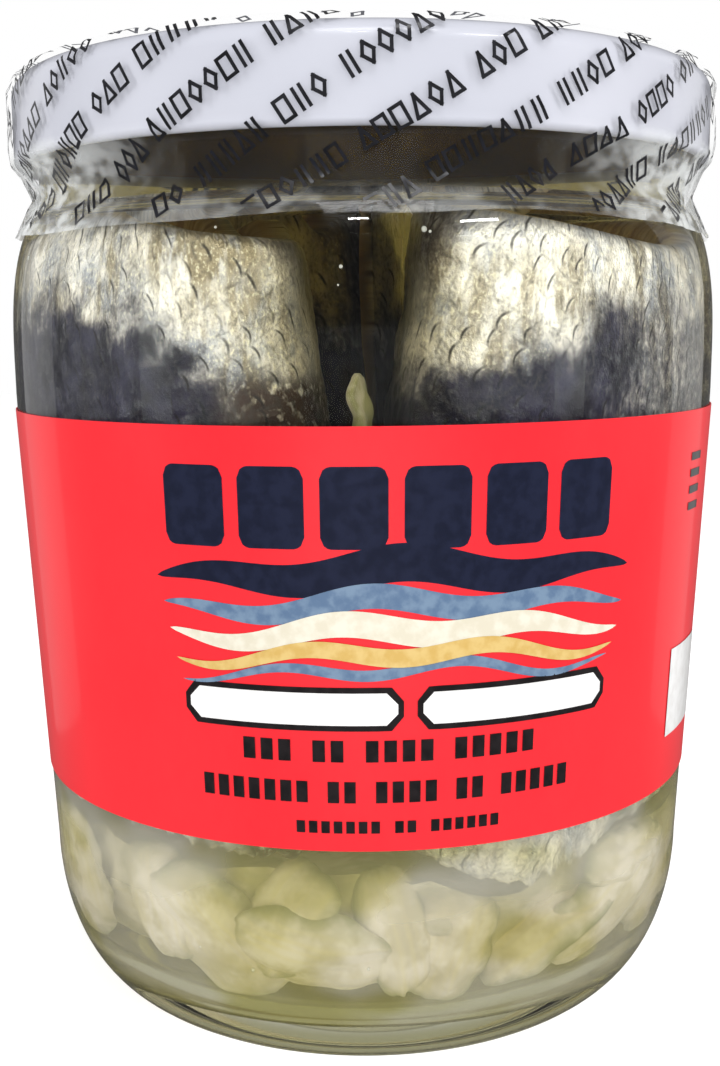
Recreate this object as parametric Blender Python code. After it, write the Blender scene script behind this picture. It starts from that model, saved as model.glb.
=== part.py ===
"""A shut glass jar of rollmops: four rolled herring fillets standing on a bed of pickled onion.

Lengths are in metres and +Z is up. The origin is the middle of the jar's foot, and -Y is the front.
"""
from math import atan2, cos, radians, sin, sqrt, tau

import bmesh
import bpy
from mathutils import Quaternion, Vector

MM = 0.001

# The glass jar, as radii and heights
FOOT_RADIUS = 30.7 * MM
FOOT_RING_INNER = 24.0 * MM
PUSH_UP = 1.2 * MM
HEEL_TOP = 18.1 * MM
HEEL_RADIUS = 40.34 * MM
LABEL_TOP_RADIUS = 43.0 * MM
LABEL_BOTTOM = 27.9 * MM
LABEL_TOP = 71.7 * MM
SHOULDER_BOTTOM = 78.0 * MM
SHOULDER_RADIUS = 43.05 * MM
SHOULDER_TOP = 94.5 * MM
NECK_RADIUS = 39.3 * MM
GLASS_TOP = 108.7 * MM
LIP_ROUND = 1.1 * MM
WALL = 2.45 * MM
FLOOR = 5.0 * MM
FLOOR_RADIUS = 24.0 * MM
INNER_HEEL_TOP = 20.0 * MM
INNER_SHOULDER_BOTTOM = 76.0 * MM
INNER_SHOULDER_TOP = 93.0 * MM
BORE_RADIUS = 36.6 * MM

# The twist-off lid
LID_RADIUS = 42.0 * MM
LID_SHEET = 0.5 * MM
LID_RIM_TOP = 109.75 * MM
LID_PANEL_TOP = 109.1 * MM
LID_BUTTON_TOP = 109.5 * MM
LID_BUTTON_RADIUS = 11.0 * MM
LID_PANEL_RADIUS = 33.0 * MM
LID_RIM_INNER = 35.5 * MM
LID_CORNER = 2.3 * MM
LID_CURL_TOP = 101.2 * MM
LID_BOTTOM = 99.8 * MM

# The clear shrink band over the lid and neck, and the paper label
SKIN_GAP = 0.30 * MM
BAND_SHEET = 0.35 * MM
LABEL_SHEET = 0.35 * MM

# The rollmops: each one's centre, the x of the upright plane that parts it from its neighbour,
# the gap there at the top, and a number that varies its shape
ROLLS = {
    "rollmop_front_left": (-18.0 * MM, -18.0 * MM, 0.0, 8.5 * MM, 1),
    "rollmop_front_right": (18.0 * MM, -18.0 * MM, 0.0, 8.5 * MM, 2),
    "rollmop_back_left": (-14.6 * MM, 18.0 * MM, 6.6 * MM, 3.0 * MM, 3),
    "rollmop_back_right": (21.2 * MM, 17.2 * MM, 6.6 * MM, 3.0 * MM, 4),
}
ROLL_BOTTOM = 25.4 * MM
ROLL_TOP = 91.6 * MM
ROLL_TO_GLASS = 0.55 * MM
ROLL_GAP_BOTTOM = 0.5 * MM
ROLL_GAP_MIDDLE = 1.6 * MM
FRONT_TO_BACK_GAP_TOP = 3.0 * MM
FREE_ROLL_RADIUS = 22.0 * MM
REFERENCE_RADIUS = 18.0 * MM
FILLET = 6.3 * MM
TURN_GAP = 0.75 * MM
ROLL_TURNS = 2.25

# The lower edge of the front right fillet hangs down further in its outer turn, as a flap
FLAP_DROP = 5.0 * MM
FLAP_MIDDLE = radians(-65)
FLAP_HALF_WIDTH = radians(27)

# The sliver of onion between the front rolls
SLIVER_OUT = 32.6 * MM
SLIVER_MIDDLE = 71.0 * MM
SLIVER_LENGTH = 11.0 * MM
SLIVER_WIDTH = 6.0 * MM
SLIVER_THICKNESS = 1.5 * MM

# The onion bed
BED_CLEARANCE = 0.6 * MM
BED_TOP = 24.7 * MM
CORE_TOP = 17.4 * MM
CORE_DEPTH = 5.6 * MM
PETAL_TIERS = (9.6 * MM, 15.2 * MM, 20.8 * MM)
PETALS_IN_TIER = 8
FRONT_HALF_WIDTH = radians(70)

# The slices that show at the front. Each has its degrees round from the front, its height, its lean
# from upright and its roll about its own length in degrees, and its length, width and depth
FRONT_SLICES = (
    (-67, 15.8, 4, 0, 17.0, 12.0, 2.3),
    (-40, 18.6, 14, 10, 14.0, 11.5, 2.6),
    (-28, 13.6, 38, -8, 18.5, 12.0, 2.2),
    (-10, 12.6, 78, 4, 17.0, 11.0, 2.0),
    (-15, 20.4, -30, 20, 14.0, 10.0, 4.2),
    (5, 19.6, 12, -12, 15.0, 7.5, 2.2),
    (14, 19.0, -20, 12, 13.0, 11.0, 4.6),
    (37, 13.2, -60, 72, 20.0, 8.0, 4.6),
    (52, 13.2, -58, 0, 20.0, 13.0, 2.6),
    (54, 20.3, 82, 0, 16.0, 7.5, 2.2),
)
SLICE_ALONG = 4
SLICE_ACROSS = 2
PETAL_LENGTHS = (14.0 * MM, 22.0 * MM)
PETAL_WIDTHS = (9.0 * MM, 12.5 * MM)
PETAL_THICKNESSES = (2.4 * MM, 3.4 * MM)
PETAL_DEPTHS = (1.9 * MM, 4.0 * MM)
PETAL_BEND_ALONG = 25.0 * MM
PETAL_BEND_ACROSS = 9.0 * MM

ROUND_STEPS = 44


def mix(a, b, t):
    return a + (b - a) * t


def smooth(t):
    t = min(1.0, max(0.0, t))
    return t * t * (3 - 2 * t)


def wave(seed):
    """A repeatable number from -1 to 1 for each seed."""
    value = sin(seed * 12.9898 + 4.1414) * 43758.5453
    return 2 * (value - int(value)) - (1 if value > 0 else -1)


def shoulder(z, bottom, top, wide, narrow, bend, round_off):
    """Radius of a shoulder that curves in from wide to narrow between two heights."""
    u = min(1.0, max(0.0, (z - bottom) / (top - bottom)))
    return narrow + (wide - narrow) * (1 - u**bend) ** (1 / round_off)


def outer_radius(z):
    """Outside of the glass at a height."""
    if z < HEEL_TOP:
        rise = 1 - z / HEEL_TOP
        return FOOT_RADIUS + (HEEL_RADIUS - FOOT_RADIUS) * sqrt(max(0.0, 1 - rise * rise))
    if z < LABEL_TOP:
        return mix(HEEL_RADIUS, LABEL_TOP_RADIUS, (z - HEEL_TOP) / (LABEL_TOP - HEEL_TOP))
    if z < SHOULDER_BOTTOM:
        t = (z - LABEL_TOP) / (SHOULDER_BOTTOM - LABEL_TOP)
        return mix(LABEL_TOP_RADIUS, SHOULDER_RADIUS, t * (2 - t))
    return shoulder(z, SHOULDER_BOTTOM, SHOULDER_TOP, SHOULDER_RADIUS, NECK_RADIUS, 2.6, 1.6)


def inner_radius(z):
    """Inside of the glass at a height above its floor."""
    if z < INNER_HEEL_TOP:
        rise = 1 - max(0.0, z - FLOOR) / (INNER_HEEL_TOP - FLOOR)
        wide = outer_radius(INNER_HEEL_TOP) - WALL
        return FLOOR_RADIUS + (wide - FLOOR_RADIUS) * sqrt(1 - rise * rise)
    wall = outer_radius(min(z, INNER_SHOULDER_BOTTOM)) - WALL
    if z < INNER_SHOULDER_BOTTOM:
        return wall
    return shoulder(z, INNER_SHOULDER_BOTTOM, INNER_SHOULDER_TOP, wall, BORE_RADIUS, 2.4, 1.8)


def quarter(centre_r, centre_z, size_r, size_z, start, end, steps):
    """Points on an elliptical arc in the (radius, height) plane; angles from +radius, in degrees."""
    for i in range(steps + 1):
        a = radians(mix(start, end, i / steps))
        yield centre_r + size_r * cos(a), centre_z + size_z * sin(a)


def heights(low, high, steps):
    return [mix(low, high, i / steps) for i in range(steps + 1)]


def clear_scene():
    for obj in list(bpy.data.objects):
        bpy.data.objects.remove(obj)


def material(name, colour, roughness, metallic=0.0, transmission=0.0):
    mat = bpy.data.materials.new(name)
    mat.use_nodes = True
    shader = mat.node_tree.nodes["Principled BSDF"]
    shader.inputs["Base Color"].default_value = (*colour, 1.0)
    shader.inputs["Roughness"].default_value = roughness
    shader.inputs["Metallic"].default_value = metallic
    shader.inputs["Transmission Weight"].default_value = transmission
    return mat


def add_object(name, mesh, mat):
    mesh.materials.append(mat)
    obj = bpy.data.objects.new(name, mesh)
    bpy.context.scene.collection.objects.link(obj)
    return obj


def object_from_bmesh(name, bm, mat):
    bmesh.ops.recalc_face_normals(bm, faces=bm.faces)
    mesh = bpy.data.meshes.new(name)
    bm.to_mesh(mesh)
    bm.free()
    mesh.shade_smooth()
    mesh.set_sharp_from_angle(angle=radians(40))
    return add_object(name, mesh, mat)


def turned(name, profile, mat, closed=False):
    """A body turned about Z. The profile runs down its outer side, from the top to the bottom."""
    mesh = bpy.data.meshes.new(name)
    edges = [(i, i + 1) for i in range(len(profile) - 1)]
    if closed:
        edges.append((len(profile) - 1, 0))
    mesh.from_pydata([(r, 0.0, z) for r, z in profile], edges, [])
    obj = add_object(name, mesh, mat)
    screw = obj.modifiers.new("Turn", "SCREW")
    screw.steps = screw.render_steps = ROUND_STEPS
    screw.use_merge_vertices = True
    screw.merge_threshold = 0.01 * MM
    screw.use_smooth_shade = True
    return obj


def glass_jar():
    """The jar: inside from the floor up, over the lip, and down the outside to the pushed-up base."""
    inside = [(0.0, FLOOR), (FLOOR_RADIUS, FLOOR)]
    wide = outer_radius(INNER_HEEL_TOP) - WALL
    heel = quarter(FLOOR_RADIUS, INNER_HEEL_TOP, wide - FLOOR_RADIUS, INNER_HEEL_TOP - FLOOR, -90, 0, 5)
    inside += list(heel)[1:]
    inside += [(inner_radius(z), z) for z in (LABEL_TOP, INNER_SHOULDER_BOTTOM)]
    inside += [(inner_radius(z), z) for z in heights(INNER_SHOULDER_BOTTOM, INNER_SHOULDER_TOP, 5)[1:]]

    lip_middle = (BORE_RADIUS + NECK_RADIUS) / 2
    lip = quarter(lip_middle, GLASS_TOP - LIP_ROUND, (NECK_RADIUS - BORE_RADIUS) / 2, LIP_ROUND, 180, 0, 4)

    outside = [(outer_radius(z), z) for z in heights(SHOULDER_TOP, SHOULDER_BOTTOM, 6)]
    outside += [(outer_radius(z), z) for z in (LABEL_TOP, HEEL_TOP)]
    heel = quarter(FOOT_RADIUS, HEEL_TOP, HEEL_RADIUS - FOOT_RADIUS, HEEL_TOP, 0, -90, 6)
    outside += list(heel)[1:]
    base = [(FOOT_RING_INNER, 0.0), (FOOT_RING_INNER - 2 * PUSH_UP, PUSH_UP), (0.0, PUSH_UP)]
    glass = material("glass", (0.86, 0.92, 0.89), 0.03, 0.0, 1.0)
    return turned("glass_jar", inside + list(lip) + outside + base, glass)


def lid():
    """A pressed steel lid: button, sunk panel, raised rim, straight skirt and a curled lower edge."""
    corner_r = LID_RADIUS - LID_CORNER
    corner_z = LID_RIM_TOP - LID_CORNER
    top = [
        (0.0, LID_BUTTON_TOP),
        (LID_BUTTON_RADIUS, LID_BUTTON_TOP),
        (LID_BUTTON_RADIUS + 1.2 * MM, LID_PANEL_TOP),
        (LID_PANEL_RADIUS, LID_PANEL_TOP),
        (LID_RIM_INNER, LID_RIM_TOP),
    ]
    top += quarter(corner_r, corner_z, LID_CORNER, LID_CORNER, 90, 0, 3)
    curl = [
        (LID_RADIUS, LID_CURL_TOP),
        (LID_RADIUS - 0.3 * MM, LID_CURL_TOP - 0.9 * MM),
        (LID_RADIUS - 1.0 * MM, LID_BOTTOM),
        (LID_RADIUS - 1.6 * MM, LID_BOTTOM + 0.6 * MM),
        (LID_RADIUS - 1.4 * MM, LID_CURL_TOP + 0.2 * MM),
        (LID_RADIUS - LID_SHEET, LID_CURL_TOP + 0.9 * MM),
    ]
    inner_corner = LID_CORNER - LID_SHEET
    under = list(quarter(corner_r, corner_z, inner_corner, inner_corner, 0, 90, 2))
    under += [
        (LID_RIM_INNER + 0.3 * MM, LID_RIM_TOP - LID_SHEET),
        (LID_PANEL_RADIUS + 0.3 * MM, LID_PANEL_TOP - LID_SHEET),
        (0.0, LID_PANEL_TOP - LID_SHEET),
    ]
    return turned("lid", top + curl + under, material("white enamel", (0.83, 0.84, 0.87), 0.25))


def band_profile():
    """The shrink band's outer line, from its upper hem on the lid down to its lower hem on the shoulder."""
    over = BAND_SHEET + SKIN_GAP
    side = LID_RADIUS + over
    top = LID_RIM_TOP + over
    return [
        (LID_RIM_INNER + 1.6 * MM, top - 0.05 * MM),
        (side - 2.4 * MM, top),
        (side - 0.9 * MM, top - 0.7 * MM),
        (side - 0.1 * MM, top - 2.2 * MM),
        (side, LID_CURL_TOP + 0.6 * MM),
        (side - 0.25 * MM, LID_BOTTOM + 0.3 * MM),
        (side - 1.2 * MM, LID_BOTTOM - 0.8 * MM),
        (NECK_RADIUS + over + 0.05 * MM, SHOULDER_TOP + 1.4 * MM),
        (outer_radius(SHOULDER_TOP - 1.2 * MM) + over + 0.1 * MM, SHOULDER_TOP - 1.2 * MM),
        (outer_radius(SHOULDER_TOP - 2.8 * MM) + over + 0.1 * MM, SHOULDER_TOP - 2.8 * MM),
    ]


def shrink_band():
    """A thin film that grips the lid and neck, with a slightly crinkled neck and lower hem."""
    line = band_profile()
    last = len(line) - 1
    steps = ROUND_STEPS
    bm = bmesh.new()
    rings = []
    for i, (r, z) in enumerate(line):
        slack = max(0.0, (i - 6) / (last - 6)) * 0.30 * MM
        before, after = Vector(line[max(0, i - 1)]), Vector(line[min(last, i + 1)])
        along = (after - before).normalized()
        inward = Vector((along.y, -along.x)) * BAND_SHEET
        outer, inner = [], []
        for j in range(steps):
            a = tau * j / steps
            crinkle = slack * (0.5 + 0.5 * wave(j)) + 0.4 * slack * sin(9 * a)
            drop = slack * 1.5 * sin(3 * a + 0.7)
            crinkle = max(0.0, crinkle)
            rr = r + crinkle
            outer.append(bm.verts.new((rr * cos(a), rr * sin(a), z + drop)))
            rr += inward.x
            inner.append(bm.verts.new((rr * cos(a), rr * sin(a), z + drop + inward.y)))
        rings.append((outer, inner))
    for j in range(steps):
        k = (j + 1) % steps
        for (outer_a, inner_a), (outer_b, inner_b) in zip(rings, rings[1:]):
            bm.faces.new((outer_a[j], outer_b[j], outer_b[k], outer_a[k]))
            bm.faces.new((inner_a[j], inner_a[k], inner_b[k], inner_b[j]))
        outer, inner = rings[0]
        bm.faces.new((outer[j], outer[k], inner[k], inner[j]))
        outer, inner = rings[-1]
        bm.faces.new((outer[k], outer[j], inner[j], inner[k]))
    return object_from_bmesh("shrink_band", bm, material("clear film", (0.9, 0.92, 0.92), 0.15, 0.0, 0.9))


def label():
    """The paper label, wrapped all the way round the jar's tapered wall."""
    under, over = SKIN_GAP, SKIN_GAP + LABEL_SHEET
    corners = ((LABEL_BOTTOM, under), (LABEL_TOP, under), (LABEL_TOP, over), (LABEL_BOTTOM, over))
    profile = [(outer_radius(z) + lift, z) for z, lift in corners]
    return turned("label", profile, material("red label paper", (0.80, 0.05, 0.05), 0.35), closed=True)


def roll_gap(climb, top_gap):
    """The width of a parting between two rolls, which opens towards their tops."""
    gap = mix(ROLL_GAP_BOTTOM, ROLL_GAP_MIDDLE, climb)
    return gap + (top_gap - ROLL_GAP_MIDDLE) * smooth((climb - 0.5) / 0.5)


def roll_reach(roll, angle, z):
    """How far a roll reaches from its centre line: to the glass, to its neighbours, or its free radius."""
    x, y, parting, top_gap, seed = roll
    centre = Vector((x, y))
    ray = Vector((cos(angle), sin(angle)))
    glass = inner_radius(z) - ROLL_TO_GLASS
    along = centre.dot(ray)
    limits = [FREE_ROLL_RADIUS, sqrt(along * along + glass * glass - centre.length_squared) - along]
    climb = (z - ROLL_BOTTOM) / (ROLL_TOP - ROLL_BOTTOM)
    for to_plane, part, top in ((parting - x, ray.x, top_gap), (-y, ray.y, FRONT_TO_BACK_GAP_TOP)):
        if to_plane * part > 0 and abs(part) > 1e-3:
            limits.append((abs(to_plane) - roll_gap(climb, top) / 2) / abs(part))
    squeeze = mix(11.0, 6.5, climb)
    return sum(d**-squeeze for d in limits) ** (-1 / squeeze)


def fillet_thickness(turn):
    """The fillet is thin at its tail, which is the roll's outer end, and thins again at its inner end."""
    tail = mix(0.22, 1.0, smooth(turn / 0.55))
    inner_end = mix(1.0, 0.55, smooth((turn - ROLL_TURNS + 0.5) / 0.5))
    return FILLET * tail * inner_end


def roll_inset(turn):
    """How far below the roll's outside the fillet's skin lies, after so many turns inwards."""
    if turn < 1.0:
        return (fillet_thickness(0.0) + TURN_GAP) * turn**2
    return roll_inset(turn - 1.0) + fillet_thickness(turn - 1.0) + TURN_GAP


def flap(angle):
    """The low flap's share of its full drop at an angle round the jar: 1 at its middle, 0 away from it."""
    return smooth(1 - abs(angle - FLAP_MIDDLE) / FLAP_HALF_WIDTH)


def roll_ends(x, y, turn, seed):
    """The wavy lower and upper edges of a fillet."""
    a = atan2(y, x)
    low = ROLL_BOTTOM + 0.6 * MM * (1 + sin(5 * a + seed)) + 0.7 * MM * (1 + sin(5.3 * turn + seed))
    high = ROLL_TOP - 1.0 * MM * (1 + sin(4 * a + 2 * seed)) - 0.6 * MM * (1 + sin(7.1 * turn + seed))
    outer_turn = 1 - smooth((turn - 0.7) / 0.3)
    return low - FLAP_DROP * flap(a) * outer_turn, high


def rollmop(name, roll, mat):
    """One butterflied herring fillet, skin outwards, rolled about an upright line, its tail inwards."""
    first_turn, later_turns = 22, 12
    turns = [i / first_turn for i in range(first_turn)]
    later = int((ROLL_TURNS - 1) * later_turns)
    turns += [1 + (ROLL_TURNS - 1) * i / later for i in range(later + 1)]
    x, y, parting, top_gap, seed = roll
    start = atan2(-y, -x) + 0.25 * wave(seed)
    levels = (0.0, 0.04, 0.4, 0.72, 0.965, 1.0)
    thinner = (0.45, 0.85, 1.0, 1.0, 0.85, 0.45)
    middle = (ROLL_BOTTOM + ROLL_TOP) / 2
    bm = bmesh.new()
    loops = []
    for level, thin in zip(levels, thinner):
        outer, inner = [], []
        for turn in turns:
            a = start + tau * turn
            near = roll_reach(roll, a, middle) * (1 - roll_inset(turn) / REFERENCE_RADIUS)
            low, high = roll_ends(x + near * cos(a), y + near * sin(a), turn, seed)
            z = mix(low, high, level)
            reach = roll_reach(roll, a, z)
            scale = reach / REFERENCE_RADIUS
            thick = fillet_thickness(turn)
            skin = reach - scale * (roll_inset(turn) + 0.35 * (1 - thin) * thick)
            flesh = skin - scale * thick * thin
            outer.append(bm.verts.new((x + skin * cos(a), y + skin * sin(a), z)))
            inner.append(bm.verts.new((x + flesh * cos(a), y + flesh * sin(a), z)))
        loops.append(outer + inner[::-1])
    count = len(loops[0])
    for below, above in zip(loops, loops[1:]):
        for i in range(count):
            k = (i + 1) % count
            bm.faces.new((below[i], below[k], above[k], above[i]))
    for loop in (loops[0], loops[-1]):
        for i in range(len(turns) - 1):
            bm.faces.new((loop[i], loop[i + 1], loop[count - 2 - i], loop[count - 1 - i]))
    return object_from_bmesh(name, bm, mat)


def bed_ceiling(point):
    """The height that the onion keeps below, under the fish."""
    return BED_TOP - FLAP_DROP * flap(atan2(point.y, point.x))


def bed_room(z):
    """The radius that the onion keeps within, inside the glass."""
    return inner_radius(z) - BED_CLEARANCE


def settled(points, place):
    """Shifts a slice as a whole until it lies between the floor, the fish and the glass."""
    too_low = max(0.0, FLOOR + BED_CLEARANCE - min(p.z for p in points))
    too_high = max(0.0, max(p.z - bed_ceiling(p) for p in points))
    rise = Vector((0.0, 0.0, too_low - too_high))
    points = [p + rise for p in points]
    outwards = place.xy.normalized().to_3d()
    too_far = max(0.0, max(p.xy.length - bed_room(p.z) for p in points))
    return [p - outwards * too_far for p in points]


def inside_bed(point):
    """Cuts off what a settled slice still has below the floor or past the fish or the glass."""
    z = min(bed_ceiling(point), max(FLOOR + BED_CLEARANCE, point.z))
    room = min(1.0, bed_room(z) / point.xy.length)
    return Vector((point.x * room, point.y * room, z))


def slice_points(place, turn, length, width, thick):
    """A curved slice of onion: a blunt leaf shape, bent both ways, with its hollow side inwards."""
    points = []
    for side in (0.5, -0.5):
        for i in range(SLICE_ALONG + 1):
            u = mix(-1, 1, i / SLICE_ALONG)
            half = width / 2 * sqrt(1 - 0.86 * u * u)
            for j in range(SLICE_ACROSS + 1):
                v = mix(-1, 1, j / SLICE_ACROSS)
                x, y = length / 2 * u, half * v
                bend = -(x * x) / (2 * PETAL_BEND_ALONG) - (y * y) / (2 * PETAL_BEND_ACROSS)
                z = bend + side * thick * (1 - 0.35 * v * v) * (1 - 0.3 * u * u)
                points.append(place + turn @ Vector((x, y, z)))
    return points


def slice_body(points):
    """Closes a slice's two faces and its rim, and splits them into triangles."""
    bm = bmesh.new()
    corners = [bm.verts.new(p) for p in points]
    columns = SLICE_ACROSS + 1
    back = (SLICE_ALONG + 1) * columns
    for i in range(SLICE_ALONG):
        for j in range(SLICE_ACROSS):
            k = i * columns + j
            quad = (k, k + columns, k + columns + 1, k + 1)
            bm.faces.new([corners[c] for c in quad])
            bm.faces.new([corners[back + c] for c in reversed(quad)])
    rim = [i * columns for i in range(SLICE_ALONG + 1)]
    rim += [SLICE_ALONG * columns + j for j in range(1, columns)]
    rim += [i * columns + SLICE_ACROSS for i in range(SLICE_ALONG - 1, -1, -1)]
    rim += list(range(SLICE_ACROSS - 1, 0, -1))
    for k, m in zip(rim, rim[1:] + rim[:1]):
        bm.faces.new([corners[c] for c in (m, k, back + k, back + m)])
    bmesh.ops.triangulate(bm, faces=bm.faces)
    return bm


def onion_sliver(mat):
    """A thin slice of onion that stands on edge between the two front rolls."""
    place = Vector((0.0, -SLIVER_OUT, SLIVER_MIDDLE))
    turn = Quaternion((0, 1, 0), radians(90)) @ Quaternion((1, 0, 0), radians(6))
    points = slice_points(place, turn, SLIVER_LENGTH, SLIVER_WIDTH, SLIVER_THICKNESS)
    return object_from_bmesh("onion_sliver", slice_body(points), mat)


def bed_core():
    """The lumpy middle of the onion bed, on which the pieces that show are joined."""
    steps, rings = 22, 3
    bm = bmesh.new()
    bottom, top = FLOOR + BED_CLEARANCE, CORE_TOP
    levels = []
    for i in range(rings + 1):
        z = mix(bottom, top, i / rings)
        row = []
        for j in range(steps):
            a = tau * j / steps
            r = inner_radius(z) - CORE_DEPTH + 0.8 * MM * wave(7 * i + 3 * j)
            rise = 0.8 * MM * wave(5 * i + j) if i == rings else 0.0
            row.append(bm.verts.new((r * cos(a), r * sin(a), z + rise)))
        levels.append(row)
    for below, above in zip(levels, levels[1:]):
        for j in range(steps):
            k = (j + 1) % steps
            bm.faces.new((below[j], below[k], above[k], above[j]))
    for row, z in ((levels[0], bottom), (levels[-1], top + 1.5 * MM)):
        middle = bm.verts.new((0.0, 0.0, z))
        for j in range(steps):
            bm.faces.new((row[j], row[(j + 1) % steps], middle))
    bmesh.ops.triangulate(bm, faces=bm.faces)
    return bm


def share(seed):
    """A repeatable number from 0 to 1 for each seed."""
    return 0.5 + 0.5 * wave(seed)


def petal_place(a, z, lean, roll, tilt, depth):
    """The middle of a slice that lies against the glass, and its turn; a is its angle round the jar."""
    slope = atan2(inner_radius(z + MM) - inner_radius(z - MM), 2 * MM)
    r = inner_radius(z) - depth * cos(slope)
    place = Vector((r * cos(a), r * sin(a), z + depth * sin(slope)))
    round_jar = Quaternion((0, 0, 1), a)
    stood_up = Quaternion((0, 1, 0), radians(90) + slope + tilt)
    return place, round_jar @ stood_up @ Quaternion((0, 0, 1), lean) @ Quaternion((1, 0, 0), roll)


def petal_places():
    """Each slice's place, turn, length, width and thickness: the front ones, then tiers round the rest."""
    for i, (a, z, lean, roll, length, width, depth) in enumerate(FRONT_SLICES):
        place = petal_place(radians(a - 90), z * MM, radians(lean), radians(roll), 0.0, depth * MM)
        yield *place, length * MM, width * MM, mix(*PETAL_THICKNESSES, share(i))
    tiers = len(PETAL_TIERS)
    for i in range(tiers * PETALS_IN_TIER):
        tier = i % tiers
        a = tau * (i // tiers + tier / tiers) / PETALS_IN_TIER + radians(7) * wave(i)
        if cos(a + radians(90)) > cos(FRONT_HALF_WIDTH):
            continue
        z = PETAL_TIERS[tier] + 1.0 * MM * wave(i + 10)
        lean, roll, tilt = (radians(most) * wave(i + seed) for most, seed in ((75, 40), (18, 60), (14, 100)))
        place = petal_place(a, z, lean, roll, tilt, mix(*PETAL_DEPTHS, share(i + 20)))
        sizes = (PETAL_LENGTHS, PETAL_WIDTHS, PETAL_THICKNESSES)
        yield *place, *(mix(*size, share(i + 80 + 40 * k)) for k, size in enumerate(sizes))


def keep_outer_body(mesh):
    """Drops what a union can leave behind: loose scraps and sealed hollows."""
    bm = bmesh.new()
    bm.from_mesh(mesh)
    bmesh.ops.remove_doubles(bm, verts=bm.verts, dist=0.0001 * MM)
    bmesh.ops.triangulate(bm, faces=bm.faces)
    left = set(bm.faces)
    bodies = []
    while left:
        body, edge = set(), [left.pop()]
        while edge:
            face = edge.pop()
            body.add(face)
            near = {f for e in face.edges for f in e.link_faces} & left
            left -= near
            edge += near
        bodies.append(body)
    largest = max(bodies, key=len)
    loose = [f for body in bodies if body is not largest for f in body]
    bmesh.ops.delete(bm, geom=loose, context="FACES")
    bm.to_mesh(mesh)
    bm.free()


def onion_bed(mat):
    """The bed of onion under the rolls: one solid, its core joined with the slices that show."""
    bed = object_from_bmesh("onion_bed", bed_core(), mat)
    slices = bpy.data.collections.new("onion slices")
    bpy.context.scene.collection.children.link(slices)
    for i, (place, turn, length, width, thick) in enumerate(petal_places()):
        points = [inside_bed(p) for p in settled(slice_points(place, turn, length, width, thick), place)]
        piece = object_from_bmesh(f"slice_{i}", slice_body(points), mat)
        bpy.context.scene.collection.objects.unlink(piece)
        slices.objects.link(piece)
    join = bed.modifiers.new("Join", "BOOLEAN")
    join.operation = "UNION"
    join.operand_type = "COLLECTION"
    join.collection = slices
    join.solver = "EXACT"
    with bpy.context.temp_override(object=bed, active_object=bed, selected_objects=[bed]):
        bpy.ops.object.modifier_apply(modifier="Join")
    for piece in list(slices.objects):
        bpy.data.objects.remove(piece)
    bpy.data.collections.remove(slices)
    keep_outer_body(bed.data)
    return bed


def main():
    clear_scene()
    glass_jar()
    lid()
    shrink_band()
    label()
    skin = material("herring skin", (0.36, 0.38, 0.40), 0.3, 0.35)
    for name, roll in ROLLS.items():
        rollmop(name, roll, skin)
    onion = material("pickled onion", (0.80, 0.80, 0.60), 0.35)
    onion_bed(onion)
    onion_sliver(onion)


main()
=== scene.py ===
"""The looks of a shut glass jar of rolled herring: glass, brine, fish, onion, label, lid and film.

Lengths are in metres, +Z is up and -Y is the front. Angles round the jar are counted from the front,
and grow towards +X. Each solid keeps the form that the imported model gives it, at finer steps.
"""
from math import cos, pi, radians, sin, sqrt, tau

import bmesh
import bpy
import numpy as np
from mathutils import Matrix, Quaternion, Vector

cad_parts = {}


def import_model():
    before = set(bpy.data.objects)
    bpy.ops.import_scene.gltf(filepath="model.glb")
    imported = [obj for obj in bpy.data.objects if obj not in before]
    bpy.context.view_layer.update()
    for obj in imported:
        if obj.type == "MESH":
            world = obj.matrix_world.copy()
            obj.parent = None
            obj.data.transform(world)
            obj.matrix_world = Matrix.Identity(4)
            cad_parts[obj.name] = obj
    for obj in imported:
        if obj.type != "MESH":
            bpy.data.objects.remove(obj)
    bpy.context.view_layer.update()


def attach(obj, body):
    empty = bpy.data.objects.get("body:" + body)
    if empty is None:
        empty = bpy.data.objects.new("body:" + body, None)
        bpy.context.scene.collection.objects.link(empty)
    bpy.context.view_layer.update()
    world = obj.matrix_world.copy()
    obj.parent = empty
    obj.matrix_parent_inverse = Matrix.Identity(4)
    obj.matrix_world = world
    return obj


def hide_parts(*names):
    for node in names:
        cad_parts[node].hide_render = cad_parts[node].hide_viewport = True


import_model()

MM = 0.001
WHITE = (1.0, 1.0, 1.0, 1.0)

# The jar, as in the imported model
FOOT_RADIUS = 30.7 * MM
FOOT_RING_INNER = 24.0 * MM
PUSH_UP = 1.2 * MM
HEEL_TOP = 18.1 * MM
HEEL_RADIUS = 40.34 * MM
LABEL_TOP_RADIUS = 43.0 * MM
LABEL_BOTTOM = 27.9 * MM
LABEL_TOP = 71.7 * MM
SHOULDER_BOTTOM = 78.0 * MM
SHOULDER_RADIUS = 43.05 * MM
SHOULDER_TOP = 94.5 * MM
NECK_RADIUS = 39.3 * MM
GLASS_TOP = 108.7 * MM
LIP_ROUND = 1.1 * MM
WALL = 2.45 * MM
FLOOR = 5.0 * MM
FLOOR_RADIUS = 24.0 * MM
INNER_HEEL_TOP = 20.0 * MM
INNER_SHOULDER_BOTTOM = 76.0 * MM
INNER_SHOULDER_TOP = 93.0 * MM
BORE_RADIUS = 36.6 * MM

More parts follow.
